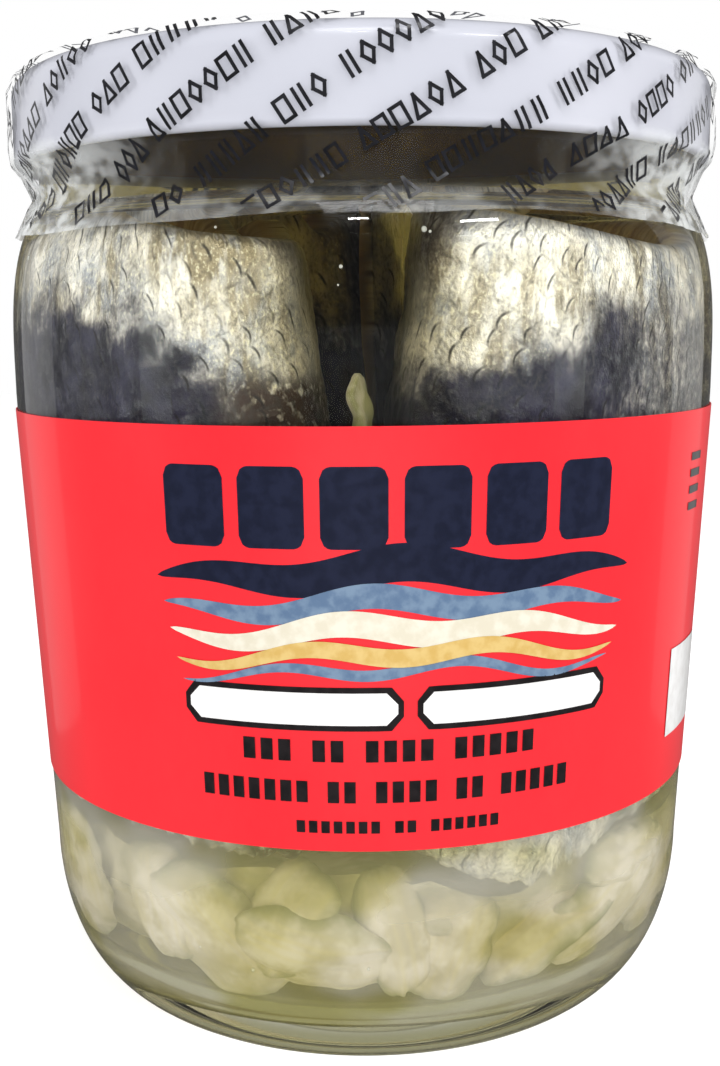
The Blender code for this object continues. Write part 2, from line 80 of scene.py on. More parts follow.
# The lid, the film over it and the label
LID_RADIUS = 42.0 * MM
LID_SHEET = 0.5 * MM
LID_RIM_TOP = 109.75 * MM
LID_PANEL_TOP = 109.1 * MM
LID_BUTTON_TOP = 109.5 * MM
LID_BUTTON_RADIUS = 11.0 * MM
LID_PANEL_RADIUS = 33.0 * MM
LID_RIM_INNER = 35.5 * MM
LID_CORNER = 2.3 * MM
LID_CURL_TOP = 101.2 * MM
LID_BOTTOM = 99.8 * MM
SKIN_GAP = 0.30 * MM
BAND_SHEET = 0.35 * MM
FILM_SHEET = 0.12 * MM
LABEL_UNDER = 0.06 * MM
LABEL_OVER = 0.20 * MM
PRINT_LIFT = 0.03 * MM

# The brine, which reaches a little way into the glass
BRINE_INTO_GLASS = 0.2 * MM
BRINE_TOP = 108.2 * MM
THICK_GLASS_TOP = 12.0 * MM

# The rolls: centre, the x of the plane that parts each from its neighbour, the gap there at the top,
# and a number that varies the shape
ROLLS = {
    "rollmop_front_left": (-18.0 * MM, -18.0 * MM, 0.0, 8.5 * MM, 1),
    "rollmop_front_right": (18.0 * MM, -18.0 * MM, 0.0, 8.5 * MM, 2),
    "rollmop_back_left": (-14.6 * MM, 18.0 * MM, 6.6 * MM, 3.0 * MM, 3),
    "rollmop_back_right": (21.2 * MM, 17.2 * MM, 6.6 * MM, 3.0 * MM, 4),
}
ROLL_BOTTOM = 25.4 * MM
ROLL_TOP = 91.6 * MM
ROLL_TO_GLASS = 0.55 * MM
ROLL_GAP_BOTTOM = 0.5 * MM
ROLL_GAP_MIDDLE = 1.6 * MM
FRONT_TO_BACK_GAP_TOP = 3.0 * MM
FREE_ROLL_RADIUS = 22.0 * MM
REFERENCE_RADIUS = 18.0 * MM
FILLET = 6.3 * MM
TURN_GAP = 0.75 * MM
ROLL_TURNS = 2.25
FLAP_DROP = 5.0 * MM
FLAP_MIDDLE = radians(-65)
FLAP_HALF_WIDTH = radians(27)

# The sliver of onion between the front rolls
SLIVER_OUT = 32.6 * MM
SLIVER_MIDDLE = 71.0 * MM
SLIVER_LENGTH = 11.0 * MM
SLIVER_WIDTH = 6.0 * MM
SLIVER_THICKNESS = 1.5 * MM

# The onion bed
BED_CLEARANCE = 0.6 * MM
BED_BOTTOM = FLOOR + BED_CLEARANCE
BED_TOP = 24.7 * MM
CORE_TOP = 22.6 * MM
CORE_DEPTH = 5.6 * MM
PETAL_TIERS = (9.6 * MM, 15.2 * MM, 20.8 * MM)
PETALS_IN_TIER = 8
FRONT_HALF_WIDTH = radians(70)

# The slices that show at the front: degrees round, height, lean, roll, length, width and depth
FRONT_SLICES = (
    (-67, 15.8, 4, 0, 17.0, 12.0, 2.3),
    (-40, 18.6, 14, 10, 14.0, 11.5, 2.6),
    (-28, 13.6, 38, -8, 18.5, 12.0, 2.2),
    (-10, 12.6, 78, 4, 17.0, 11.0, 2.0),
    (-15, 20.4, -30, 20, 14.0, 10.0, 4.2),
    (5, 19.6, 12, -12, 15.0, 7.5, 2.2),
    (14, 19.0, -20, 12, 13.0, 11.0, 4.6),
    (37, 13.2, -60, 72, 20.0, 8.0, 4.6),
    (52, 13.2, -58, 0, 20.0, 13.0, 2.6),
    (54, 20.3, 82, 0, 16.0, 7.5, 2.2),
)
PETAL_LENGTHS = (14.0 * MM, 22.0 * MM)
PETAL_WIDTHS = (9.0 * MM, 12.5 * MM)
PETAL_THICKNESSES = (2.4 * MM, 3.4 * MM)
PETAL_DEPTHS = (1.9 * MM, 4.0 * MM)
PETAL_BEND_ALONG = 25.0 * MM
PETAL_BEND_ACROSS = 9.0 * MM

# The camera
CAMERA_PLACE = (0.0, -168.73 * MM, 81.2 * MM)
CAMERA_PITCH = radians(8.98)
CAMERA_YAW = radians(0.186)
CAMERA_ROLL = -0.008
CAMERA_LENS = 44.237

# The point that the lamps face, in metres
LIT_POINT = (0.0, 0.0, 0.05)

# How bright the studio is to the camera, to a plain reflection, seen through the jar, to a reflection
# from the wet skin inside it, and to everything else
BACKDROP = 1.0
MIRRORED_ROOM = 0.11
ROOM_BEHIND = 0.62
ROOM_ON_SKIN = 2.3
ROOM = 0.74

# A ray that has met more surfaces than this on its way out was mirrored by the skin
DEPTH_THROUGH_JAR = 7.5

# Steps round, and the width of the rings that keep the shading of flat discs even
ROUND_STEPS = 144
LID_STEPS = 192
LABEL_STEPS = 216
EDGE_RING = 0.4 * MM
BUBBLES = 70


def mix(a, b, t):
    return a + (b - a) * t


def smooth(t):
    t = np.clip(t, 0.0, 1.0)
    return t * t * (3 - 2 * t)


def wave(seed):
    """A repeatable number from -1 to 1 for each seed."""
    value = sin(seed * 12.9898 + 4.1414) * 43758.5453
    return 2 * (value - int(value)) - (1 if value > 0 else -1)


def share(seed):
    """A repeatable number from 0 to 1 for each seed."""
    return 0.5 + 0.5 * wave(seed)


def ripple(u, v, seed, waves=6):
    """Smooth uneven relief from about -1 to 1 over two coordinates whose waves are about one unit long."""
    total = 0.0
    for i in range(waves):
        a = pi * share(seed * 31 + i * 7)
        rate = tau * mix(0.6, 1.5, share(seed * 17 + i * 3))
        total = total + np.sin(rate * (u * cos(a) + v * sin(a)) + tau * share(seed * 5 + i))
    return total / sqrt(waves)


def shoulder(z, bottom, top, wide, narrow, bend, round_off):
    """Radius of a shoulder that curves in from wide to narrow between two heights."""
    u = np.clip((z - bottom) / (top - bottom), 0.0, 1.0)
    return narrow + (wide - narrow) * (1 - u**bend) ** (1 / round_off)


def outer_radius(z):
    """Outside of the glass at a height."""
    z = np.asarray(z, float)
    rise = np.clip(1 - z / HEEL_TOP, 0.0, 1.0)
    heel = FOOT_RADIUS + (HEEL_RADIUS - FOOT_RADIUS) * np.sqrt(1 - rise * rise)
    wall = mix(HEEL_RADIUS, LABEL_TOP_RADIUS, (z - HEEL_TOP) / (LABEL_TOP - HEEL_TOP))
    t = (z - LABEL_TOP) / (SHOULDER_BOTTOM - LABEL_TOP)
    turn = mix(LABEL_TOP_RADIUS, SHOULDER_RADIUS, t * (2 - t))
    top = shoulder(z, SHOULDER_BOTTOM, SHOULDER_TOP, SHOULDER_RADIUS, NECK_RADIUS, 2.6, 1.6)
    return np.select([z < HEEL_TOP, z < LABEL_TOP, z < SHOULDER_BOTTOM], [heel, wall, turn], top)


def inner_radius(z):
    """Inside of the glass at a height above its floor."""
    z = np.asarray(z, float)
    rise = np.clip(1 - (z - FLOOR) / (INNER_HEEL_TOP - FLOOR), 0.0, 1.0)
    wide = outer_radius(INNER_HEEL_TOP) - WALL
    heel = FLOOR_RADIUS + (wide - FLOOR_RADIUS) * np.sqrt(1 - rise * rise)
    wall = outer_radius(np.minimum(z, INNER_SHOULDER_BOTTOM)) - WALL
    top = shoulder(z, INNER_SHOULDER_BOTTOM, INNER_SHOULDER_TOP, wall, BORE_RADIUS, 2.4, 1.8)
    return np.select([z < INNER_HEEL_TOP, z < INNER_SHOULDER_BOTTOM], [heel, wall], top)


def arc(centre_r, centre_z, size_r, size_z, start, end, steps):
    """Points on an elliptical arc in the (radius, height) plane; angles from +radius, in degrees."""
    for a in np.radians(np.linspace(start, end, steps + 1)):
        yield centre_r + size_r * cos(a), centre_z + size_z * sin(a)


# Meshes


def grid_faces(rows, columns, wrap=False):
    """The quads of a grid of points, whose columns join round where wrap is set."""
    i, j = np.mgrid[0 : rows - 1, 0 : columns if wrap else columns - 1]
    k = (j + 1) % columns
    corners = (i * columns + j, i * columns + k, (i + 1) * columns + k, (i + 1) * columns + j)
    return np.stack(corners, -1).reshape(-1, 4)


def add_object(name, data):
    made = bpy.data.objects.new(name, data)
    bpy.context.scene.collection.objects.link(made)
    return made


def add_piece(name, points, faces, mat, slot=None, replaces=(), closed=True, values=None, sharp=50):
    """Makes one smooth piece that rides with the jar. values are named numbers or vectors per point."""
    mesh = bpy.data.meshes.new(name)
    points = np.asarray(points, float).reshape(-1, 3).tolist()
    mesh.from_pydata(points, [], [list(map(int, face)) for face in faces])
    for key, value in (values or {}).items():
        value = np.asarray(value, np.float32)
        kind, field = ("FLOAT", "value") if value.ndim == 1 else ("FLOAT_VECTOR", "vector")
        mesh.attributes.new(key, kind, "POINT").data.foreach_set(field, value.ravel())
    if closed:
        bm = bmesh.new()
        bm.from_mesh(mesh)
        bmesh.ops.remove_doubles(bm, verts=bm.verts, dist=0.0005 * MM)
        bmesh.ops.recalc_face_normals(bm, faces=bm.faces)
        bm.to_mesh(mesh)
        bm.free()
    mesh.shade_smooth()
    mesh.set_sharp_from_angle(angle=radians(sharp))
    mesh.materials.append(mat)
    piece = add_object(name, mesh)
    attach(piece, "root")
    if replaces:
        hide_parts(*replaces)
    return piece


def turned(profile, steps=ROUND_STEPS, closed=False):
    """Points and faces of a profile in (radius, height), turned about Z."""
    line = np.array(list(profile))
    if closed:
        line = np.vstack([line, line[:1]])
    a = np.linspace(0, tau, steps, endpoint=False)
    heights = np.repeat(line[:, 1:], steps, axis=1)
    points = np.stack([line[:, :1] * np.cos(a), line[:, :1] * np.sin(a), heights], -1)
    return points.reshape(-1, 3), grid_faces(len(line), steps, wrap=True)


# Materials


def node(tree, kind, inputs=None, **settings):
    """Adds a shader node. An input that is a socket is linked, and any other value is set."""
    made = tree.nodes.new("ShaderNode" + kind)
    for key, value in settings.items():
        setattr(made, key, value)
    for key, value in (inputs or {}).items():
        if isinstance(value, bpy.types.NodeSocket):
            tree.links.new(value, made.inputs[key])
        else:
            made.inputs[key].default_value = value
    return made


def tree_of(*values):
    """The shader tree of the first socket among some values."""
    return next(value.id_data for value in values if isinstance(value, bpy.types.NodeSocket))


def new_material(name, inputs):
    """A material with one Principled shader."""
    mat = bpy.data.materials.new(name)
    mat.use_nodes = True
    tree = mat.node_tree
    tree.nodes.clear()
    output = node(tree, "OutputMaterial")
    shader = node(tree, "BsdfPrincipled", inputs)
    link(shader.outputs[0], output, "Surface")
    return mat, tree, shader


def link(source, shader, name):
    shader.id_data.links.new(source, shader.inputs[name])


def rgb(red, green, blue):
    """A colour of 0 to 255 a channel, as the eye sees it, in the renderer's linear numbers."""
    linear = [((c / 255 + 0.055) / 1.055) ** 2.4 if c > 10 else c / 255 / 12.92 for c in (red, green, blue)]
    return (*linear, 1.0)


def noise(vector, scale, detail=3.0, roughness=0.5):
    """Cloudy noise from 0 to 1. Its scale is one number, or one for each direction."""
    tree = vector.id_data
    if isinstance(scale, tuple):
        vector = node(tree, "Mapping", {"Vector": vector, "Scale": scale}).outputs[0]
        scale = 1.0
    inputs = {"Vector": vector, "Scale": scale, "Detail": detail, "Roughness": roughness}
    return node(tree, "TexNoise", inputs).outputs[0]


def ramp(value, low, high, to_low=0.0, to_high=1.0):
    """Maps a value smoothly from one range onto another."""
    inputs = {"Value": value, "From Min": low, "From Max": high, "To Min": to_low, "To Max": to_high}
    return node(value.id_data, "MapRange", inputs, interpolation_type="SMOOTHSTEP").outputs[0]


def blend(share_of_b, a, b, kind="MIX"):
    """Mixes two colours."""
    tree, inputs = tree_of(share_of_b, a, b), {0: share_of_b, 6: a, 7: b}
    return node(tree, "Mix", inputs, data_type="RGBA", blend_type=kind).outputs[2]


def maths(operation, a, b=0.0):
    return node(tree_of(a, b), "Math", {0: a, 1: b}, operation=operation).outputs[0]


def plus(a, b):
    return maths("ADD", a, b)


def times(a, b):
    return maths("MULTIPLY", a, b)


def point_value(tree, name, part="Fac"):
    """A number that the mesh keeps for each of its points, or a vector."""
    return node(tree, "Attribute", attribute_name=name).outputs[part]


def bump(shader, height, strength, distance):
    inputs = {"Height": height, "Strength": strength, "Distance": distance}
    link(node(shader.id_data, "Bump", inputs).outputs[0], shader, "Normal")


def object_place(tree):
    return node(tree, "TexCoord").outputs["Object"]


def glass_material():
    """Clear glass, olive in its thick foot. Its reflections are all but gone where brine wets it."""
    clear = {"Roughness": 0.0, "IOR": 1.5, "Transmission Weight": 1.0}
    mat, tree, shader = new_material("clear_glass", clear)
    gloss = blend(point_value(tree, "wetted"), WHITE, (0.1, 0.1, 0.1, 1.0))
    link(gloss, shader, "Specular Tint")
    tint = blend(point_value(tree, "foot"), rgb(250, 252, 248), rgb(186, 184, 146))
    link(tint, shader, "Base Color")
    bump(shader, noise(object_place(tree), (60, 60, 25), 0.0), 0.35, 0.25 * MM)
    return mat


def brine_material():
    """Clear olive brine, a little cloudy round the onion."""
    liquid = {"Roughness": 0.0, "IOR": 1.34, "Specular Tint": (0.0, 0.0, 0.0, 1.0)}
    mat, tree, shader = new_material("olive_brine", liquid)
    place = object_place(tree)
    wisps = noise(place, (60, 60, 90), 2.0)
    height = node(tree, "SeparateXYZ", {"Vector": place}).outputs[2]
    low = ramp(height, 36 * MM, 27 * MM)
    thick = ramp(height, 16 * MM, 24 * MM, 0.24, 0.38)
    cloudy = times(low, times(thick, ramp(wisps, 0.3, 0.7, 0.7, 1.0)))
    veil = blend(ramp(wisps, 0.40, 0.60), (0.60, 0.57, 0.26, 1.0), (0.80, 0.78, 0.66, 1.0))
    link(blend(low, WHITE, veil), shader, "Base Color")
    link(maths("SUBTRACT", 1.0, cloudy), shader, "Transmission Weight")
    output = tree.nodes["Material Output"]
    depth = node(tree, "VolumeAbsorption", {"Color": (0.62, 0.55, 0.20, 1.0), "Density": 54.0})
    link(depth.outputs[0], output, "Volume")

    # Soft light and lamps shine straight through, as through a plain window
    path = node(tree, "LightPath").outputs
    either = maths("MAXIMUM", path["Is Shadow Ray"], path["Is Diffuse Ray"])
    window = node(tree, "BsdfTransparent").outputs[0]
    mixed = node(tree, "MixShader", {0: either, 1: shader.outputs[0], 2: window})
    link(mixed.outputs[0], output, "Surface")
    return mat


def skin_material():
    """Wet herring skin: slate blue back, silver, cream and gold belly, and dark-edged scale pockets, with
    painted glints on the belly and painted shade by the parting between the rolls.
    """
    wet = {"Roughness": 0.34, "IOR": 1.28, "Coat Weight": 0.15, "Coat Roughness": 0.15}
    mat, tree, shader = new_material("herring_skin", wet)
    skin = point_value(tree, "skin", "Vector")
    names = ("back", "flesh", "gold", "brown", "cream", "dusk")
    back, flesh, gold, brown, cream, dusk = (point_value(tree, name) for name in names)

    clouds = noise(skin, (0.20, 0.16, 0.3), 2.0, 0.65)
    streaks = noise(skin, (0.42, 0.11, 0.5), 3.0, 0.65)
    grain = noise(skin, (2.6, 1.8, 3.0), 2.0, 0.7)
    fray = noise(skin, (1.0, 0.7, 1.0), 2.0, 0.65)

    # Scale pockets: a slanted lattice, and a short curved dark line in some of its cells
    bent = node(tree, "TexNoise", {"Vector": skin, "Scale": 0.35, "Detail": 0.0}).outputs[1]
    uneven = blend(0.9, skin, bent, "ADD")
    slant = {"Vector": uneven, "Rotation": (0, 0, radians(32)), "Scale": (0.42, 0.34, 0)}
    tilted = node(tree, "Mapping", slant).outputs[0]
    lattice = {"Vector": tilted, "Scale": 1.0, "Randomness": 0.55}
    cells = node(tree, "TexVoronoi", lattice, voronoi_dimensions="2D")
    edges = node(tree, "TexVoronoi", lattice, voronoi_dimensions="2D", feature="DISTANCE_TO_EDGE")
    ends = {0: tilted, 1: cells.outputs["Position"]}
    offset = node(tree, "VectorMath", ends, operation="SUBTRACT")
    beside = node(tree, "SeparateXYZ", {"Vector": offset.outputs[0]}).outputs
    chance = node(tree, "SeparateColor", {"Color": cells.outputs["Color"]}).outputs
    curve = times(times(beside[1], beside[1]), 0.9)
    off_line = maths("ABSOLUTE", maths("SUBTRACT", beside[0], curve))
    tapered = ramp(maths("ABSOLUTE", beside[1]), 0.48, 0.14)
    line = times(ramp(off_line, 0.085, 0.015), tapered)
    ticks = times(line, ramp(chance[0], 0.20, 0.70))
    net = times(ramp(edges.outputs["Distance"], 0.10, 0.0), ramp(fray, 0.38, 0.62))

    pearl = blend(ramp(clouds, 0.36, 0.64), rgb(168, 171, 182), rgb(252, 246, 240))
    creamy = times(cream, ramp(fray, 0.30, 0.55))
    pearl = blend(creamy, pearl, rgb(255, 250, 242))
    golden = times(gold, ramp(streaks, 0.37, 0.62, 0.0, 0.85))
    belly = blend(golden, pearl, rgb(154, 142, 118))
    slate = blend(ramp(clouds, 0.34, 0.68), rgb(22, 21, 38), rgb(54, 53, 75))
    slate = blend(brown, slate, rgb(58, 44, 40))
    ragged = plus(times(fray, 0.8), times(streaks, 0.5))
    border = ramp(plus(back, ragged), 0.62, 1.62)
    border = maths("MAXIMUM", border, times(brown, ramp(fray, 0.25, 0.5)))
    colour = blend(border, belly, slate)
    # Painted glints: small bright cream flecks on the belly, kept off the slate back
    speck = times(ramp(grain, 0.54, 0.64), 0.5)
    speck = times(speck, maths("SUBTRACT", 1.0, border))
    layers = (
        (speck, (244, 238, 214)),
        (times(ramp(grain, 0.50, 0.34), 0.34), (74, 74, 76)),
        (times(net, 0.42), (60, 60, 62)),
        (times(ticks, 0.85), (22, 22, 26)),
        # painted shade: dark maroon-brown towards the parting between the rolls
        (times(dusk, ramp(fray, 0.2, 0.6, 0.6, 0.95)), (44, 34, 34)),
    )
    for amount, tone in layers:
        colour = blend(amount, colour, rgb(*tone))
    meat = blend(ramp(streaks, 0.4, 0.65), rgb(216, 190, 142), rgb(170, 138, 98))
    colour = blend(flesh, colour, meat)
    link(colour, shader, "Base Color")
    sheen = maths("SUBTRACT", 0.45, times(border, 0.35))
    link(times(sheen, maths("SUBTRACT", 1.0, flesh)), shader, "Metallic")
    bump(shader, grain, 0.6, 0.25 * MM)
    return mat


def onion_material():
    # Painted glow: the onion emits its own colour at a low strength, standing in for light that passes
    # through the translucent slices
    wet = {"Roughness": 0.4, "IOR": 1.38, "Emission Strength": 0.19}
    mat, tree, shader = new_material("pickled_onion", wet)
    leaf = point_value(tree, "leaf", "Vector")
    rim = point_value(tree, "rim")
    veins = noise(leaf, (0.05, 1.5, 1.0), 2.0, 0.5)
    clouds = noise(object_place(tree), 190.0, 3.0, 0.6)
    pale = blend(ramp(clouds, 0.38, 0.62), rgb(214, 204, 194), rgb(182, 171, 144))
    veined = times(ramp(veins, 0.42, 0.7), 0.35)
    colour = blend(veined, pale, rgb(206, 192, 146))
    dark_rim = times(rim, ramp(clouds, 0.3, 0.6, 0.35, 0.9))
    colour = blend(dark_rim, colour, rgb(130, 129, 92))
    link(colour, shader, "Base Color")
    # the painted glow takes the onion's own colour
    link(colour, shader, "Emission Color")
    bump(shader, veins, 0.2, 0.15 * MM)
    return mat


def label_material():
    glossy = {"Roughness": 0.4, "IOR": 1.4, "Coat Weight": 0.35, "Coat Roughness": 0.08}
    mat, tree, shader = new_material("varnished_red_paper", glossy)
    place = object_place(tree)
    fibres = noise(place, (900, 900, 500), 3.0)
    clouds = noise(place, (40, 40, 30), 2.0)
    red = blend(ramp(clouds, 0.35, 0.65), rgb(250, 30, 44), rgb(254, 37, 49))
    link(blend(times(fibres, 0.08), red, rgb(250, 80, 78)), shader, "Base Color")
    bump(shader, plus(clouds, times(fibres, 0.1)), 0.25, 0.12 * MM)
    return mat


def mottled_material(name, inputs, scale, detail, low, high, span=None):
    """A material whose colour drifts between two. The noise is sharpened to a span where one is given."""
    mat, tree, shader = new_material(name, inputs)
    clouds = noise(object_place(tree), scale, detail)
    drift = ramp(clouds, *span) if span else clouds
    link(blend(drift, rgb(*low), rgb(*high)), shader, "Base Color")
    return mat


def ink_material(name, colour, other):
    """Printed ink that varies a little from place to place under the varnish."""
    varnished = {"Roughness": 0.35, "Coat Weight": 0.5, "Coat Roughness": 0.08}
    return mottled_material(name, varnished, (700, 700, 700), 3.0, colour, other, (0.35, 0.65))


def enamel_material():
    glossy = {"Roughness": 0.28, "Coat Weight": 0.5, "Coat Roughness": 0.05}
    mat, tree, shader = new_material("white_enamel", glossy)
    place = object_place(tree)
    peel = noise(place, 420.0, 2.0)
    clouds = noise(place, 25.0, 2.0)
    white = blend(ramp(clouds, 0.3, 0.7), rgb(196, 198, 209), rgb(206, 207, 217))
    link(white, shader, "Base Color")
    bump(shader, peel, 0.12, 0.05 * MM)
    return mat


def film_material():
    """Clear film, milky where it is gathered along its hem and at the sides of the neck; at the sides the
    milkiness is partly gathered film and partly a painted sheen of film seen edge-on from the front.
    """
    clear = {"Base Color": rgb(240, 243, 242), "Roughness": 0.12, "IOR": 1.5}
    mat, tree, shader = new_material("shrink_film", clear)
    place = object_place(tree)
    folds = noise(place, (150, 150, 260), 2.0, 0.6)
    small = noise(place, (420, 420, 700), 1.0, 0.6)
    along = node(tree, "SeparateXYZ", {"Vector": place}).outputs
    neck = ramp(along[2], 101.5 * MM, 99.0 * MM)
    # Painted sheen: the film grows milky towards the left and right of the neck, standing in for film seen
    # edge-on from the front as well as for its gathers
    sideways = ramp(maths("ABSOLUTE", along[0]), 18.0 * MM, 37.0 * MM)
    hem = ramp(along[2], 95.0 * MM, 93.0 * MM, 0.0, 0.22)
    gathered = times(neck, maths("MAXIMUM", sideways, hem))
    relief = plus(times(folds, 0.6), times(small, 0.4))
    milky = times(gathered, ramp(relief, 0.42, 0.58, 0.10, 0.48))
    link(plus(milky, 0.006), shader, "Alpha")
    bump(shader, relief, 0.7, 0.7 * MM)
    return mat


# Glass, brine, lid, film and label


def wall_line(radius, start, end, count, beyond=0.0):
    """Points down or up a wall, whose radius is a function of the height."""
    return [(float(radius(z)) + beyond, z) for z in np.linspace(start, end, count)]


def glass_jar():
    wide = float(outer_radius(INNER_HEEL_TOP)) - WALL
    profile = [(0.0, FLOOR), (FLOOR_RADIUS - EDGE_RING, FLOOR)]
    profile += arc(FLOOR_RADIUS, INNER_HEEL_TOP, wide - FLOOR_RADIUS, INNER_HEEL_TOP - FLOOR, -90, 0, 20)
    profile += wall_line(inner_radius, INNER_HEEL_TOP, INNER_SHOULDER_BOTTOM, 12)[1:]
    profile += wall_line(inner_radius, INNER_SHOULDER_BOTTOM, INNER_SHOULDER_TOP, 22)[1:]
    middle = (BORE_RADIUS + NECK_RADIUS) / 2
    profile += arc(middle, GLASS_TOP - LIP_ROUND, (NECK_RADIUS - BORE_RADIUS) / 2, LIP_ROUND, 180, 0, 12)
    profile += wall_line(outer_radius, SHOULDER_TOP, SHOULDER_BOTTOM, 24)
    profile += wall_line(outer_radius, SHOULDER_BOTTOM, HEEL_TOP, 14)[1:]
    profile += list(arc(FOOT_RADIUS, HEEL_TOP, HEEL_RADIUS - FOOT_RADIUS, HEEL_TOP, 0, -90, 24))[1:]
    profile += [(FOOT_RADIUS - EDGE_RING, 0.0), (FOOT_RING_INNER, 0.0)]
    profile += [(FOOT_RING_INNER - 2 * PUSH_UP, PUSH_UP), (0.0, PUSH_UP)]
    points, faces = turned(profile)
    x, y, z = points.T
    r = np.hypot(x, y)
    wetted = (r < outer_radius(z) - WALL / 2) & (z > THICK_GLASS_TOP) & (z < BRINE_TOP)
    values = {"wetted": wetted, "foot": smooth((10.0 * MM - z) / (5.0 * MM))}
    mat = glass_material()
    jar = add_piece("jar", points, faces, mat, "jar_glass", ["glass_jar"], values=values, sharp=22)
    jar.visible_shadow = jar.visible_diffuse = False


def brine():
    profile = [(0.0, BRINE_TOP), (BORE_RADIUS + BRINE_INTO_GLASS, BRINE_TOP)]
    profile += wall_line(inner_radius, INNER_SHOULDER_TOP, INNER_SHOULDER_BOTTOM, 22, BRINE_INTO_GLASS)
    profile += wall_line(inner_radius, INNER_SHOULDER_BOTTOM, INNER_HEEL_TOP, 12, BRINE_INTO_GLASS)[1:]
    for turn in np.radians(np.linspace(0, 90, 20))[1:]:
        z = INNER_HEEL_TOP - (INNER_HEEL_TOP - FLOOR) * np.sin(turn)
        sunk = BRINE_INTO_GLASS * (z < THICK_GLASS_TOP)
        profile.append((float(inner_radius(z)) + BRINE_INTO_GLASS, z - sunk))
    bottom = FLOOR - BRINE_INTO_GLASS
    profile += [(FLOOR_RADIUS - EDGE_RING, bottom), (0.0, bottom)]
    add_piece("brine", *turned(profile), brine_material())


def lid():
    corner_r, corner_z = LID_RADIUS - LID_CORNER, LID_RIM_TOP - LID_CORNER
    profile = [(0.0, LID_BUTTON_TOP)]
    profile += arc(LID_BUTTON_RADIUS, LID_BUTTON_TOP - 0.2 * MM, 1.2 * MM, 0.2 * MM, 90, 0, 6)
    profile += [(LID_BUTTON_RADIUS + 1.4 * MM, LID_PANEL_TOP), (LID_PANEL_RADIUS, LID_PANEL_TOP)]
    profile += [(LID_PANEL_RADIUS + 0.8 * MM, LID_PANEL_TOP + 0.1 * MM)]
    profile += [(LID_RIM_INNER - 0.6 * MM, LID_RIM_TOP - 0.1 * MM), (LID_RIM_INNER, LID_RIM_TOP)]
    profile += arc(corner_r, corner_z, LID_CORNER, LID_CORNER, 90, 0, 12)
    profile += [(LID_RADIUS, z) for z in np.linspace(corner_z, LID_CURL_TOP, 6)[1:]]
    curl_r, curl_z = LID_RADIUS - 0.8 * MM, (LID_CURL_TOP + LID_BOTTOM) / 2
    profile += arc(curl_r, curl_z, 0.8 * MM, (LID_CURL_TOP - LID_BOTTOM) / 2, 20, -200, 14)
    profile += [(LID_RADIUS - LID_SHEET, LID_CURL_TOP + 0.9 * MM)]
    inner = LID_CORNER - LID_SHEET
    profile += arc(corner_r, corner_z, inner, inner, 0, 90, 6)
    profile += [(LID_RIM_INNER + 0.3 * MM, LID_RIM_TOP - LID_SHEET)]
    profile += [(LID_PANEL_RADIUS + 0.3 * MM, LID_PANEL_TOP - LID_SHEET), (0.0, LID_PANEL_TOP - LID_SHEET)]
    made = add_piece("white_lid", *turned(profile, LID_STEPS), enamel_material(), "lid_enamel", ["lid"])
    gilt = {"Roughness": 0.35, "Metallic": 0.5}
    lacquer = mottled_material("gold_lacquer", gilt, 160.0, 3.0, (150, 122, 62), (186, 158, 92))
    made.data.materials.append(lacquer)
    for face in made.data.polygons:
        outwards = Vector((face.center.x, face.center.y, 0.0))
        inside = face.normal.dot(outwards) < -0.5 * outwards.length and face.center.z > LID_CURL_TOP
        face.material_index = int(inside or (face.normal.z < -0.3 and face.center.z > LID_PANEL_TOP - 2 * MM))


BAND_OVER = BAND_SHEET + SKIN_GAP
BAND_SIDE = LID_RADIUS + BAND_OVER
BAND_TOP = LID_RIM_TOP + BAND_OVER
BAND_HEM = SHOULDER_TOP - 2.8 * MM
BAND_LINE = (
    (LID_RIM_INNER + 1.6 * MM, BAND_TOP - 0.05 * MM),
    (BAND_SIDE - 2.4 * MM, BAND_TOP),
    (BAND_SIDE - 0.9 * MM, BAND_TOP - 0.7 * MM),
    (BAND_SIDE - 0.1 * MM, BAND_TOP - 2.2 * MM),
    (BAND_SIDE, LID_CURL_TOP + 0.6 * MM),
    (BAND_SIDE - 0.25 * MM, LID_BOTTOM + 0.3 * MM),
    (BAND_SIDE - 1.2 * MM, LID_BOTTOM - 0.8 * MM),
    (NECK_RADIUS + BAND_OVER + 0.05 * MM, SHOULDER_TOP + 1.4 * MM),
    *((float(outer_radius(z)) + BAND_OVER + 0.1 * MM, z) for z in (SHOULDER_TOP - 1.2 * MM, BAND_HEM)),
)
BAND_LENGTHS = np.concatenate([[0.0], np.cumsum(np.hypot(*np.diff(BAND_LINE, axis=0).T))])
BAND_LENGTH = float(BAND_LENGTHS[-1])
BAND_NECK = float(BAND_LENGTHS[6])


def band_point(a, down, lift=0.0):
    """A point on the film: a is the angle round, down the distance from its upper hem along it."""
    r, z = (np.interp(down, BAND_LENGTHS, line) for line in zip(*BAND_LINE))
    slack = np.clip((down - BAND_NECK) / (BAND_LENGTH - BAND_NECK), 0.0, 1.0)
    fold = ripple(14 * a / tau * 2, down / (9 * MM), 3) + 0.6 * ripple(40 * a / tau * 2, down / (3.5 * MM), 4)
    r = r + 0.30 * MM * slack * np.clip(0.5 + 0.5 * fold, 0.0, 1.6) + lift
    z = z + 0.45 * MM * slack * np.sin(3 * a + 0.7) + 0.25 * MM * slack * ripple(12 * a / tau, 0 * a, 5)
    return np.stack([r * np.sin(a), -r * np.cos(a), z], -1)


def film_band():
    columns, rows = 480, 90
    a, down = np.meshgrid(np.linspace(0, tau, columns, endpoint=False), np.linspace(0, BAND_LENGTH, rows))
    outer = band_point(a, down)
    inner = band_point(a, down, -FILM_SHEET)
    points = np.concatenate([outer.reshape(-1, 3), inner.reshape(-1, 3)])
    faces = grid_faces(rows, columns, wrap=True)
    count = rows * columns
    j = np.arange(columns)
    k = (j + 1) % columns
    hem = np.stack([j, k, count + k, count + j], -1)
    faces = np.concatenate([faces, faces + count, hem, hem + count - columns])
    film = add_piece("film_band", points, faces, film_material(), "clear_film", ["shrink_band"])
    film.visible_shadow = film.visible_diffuse = False


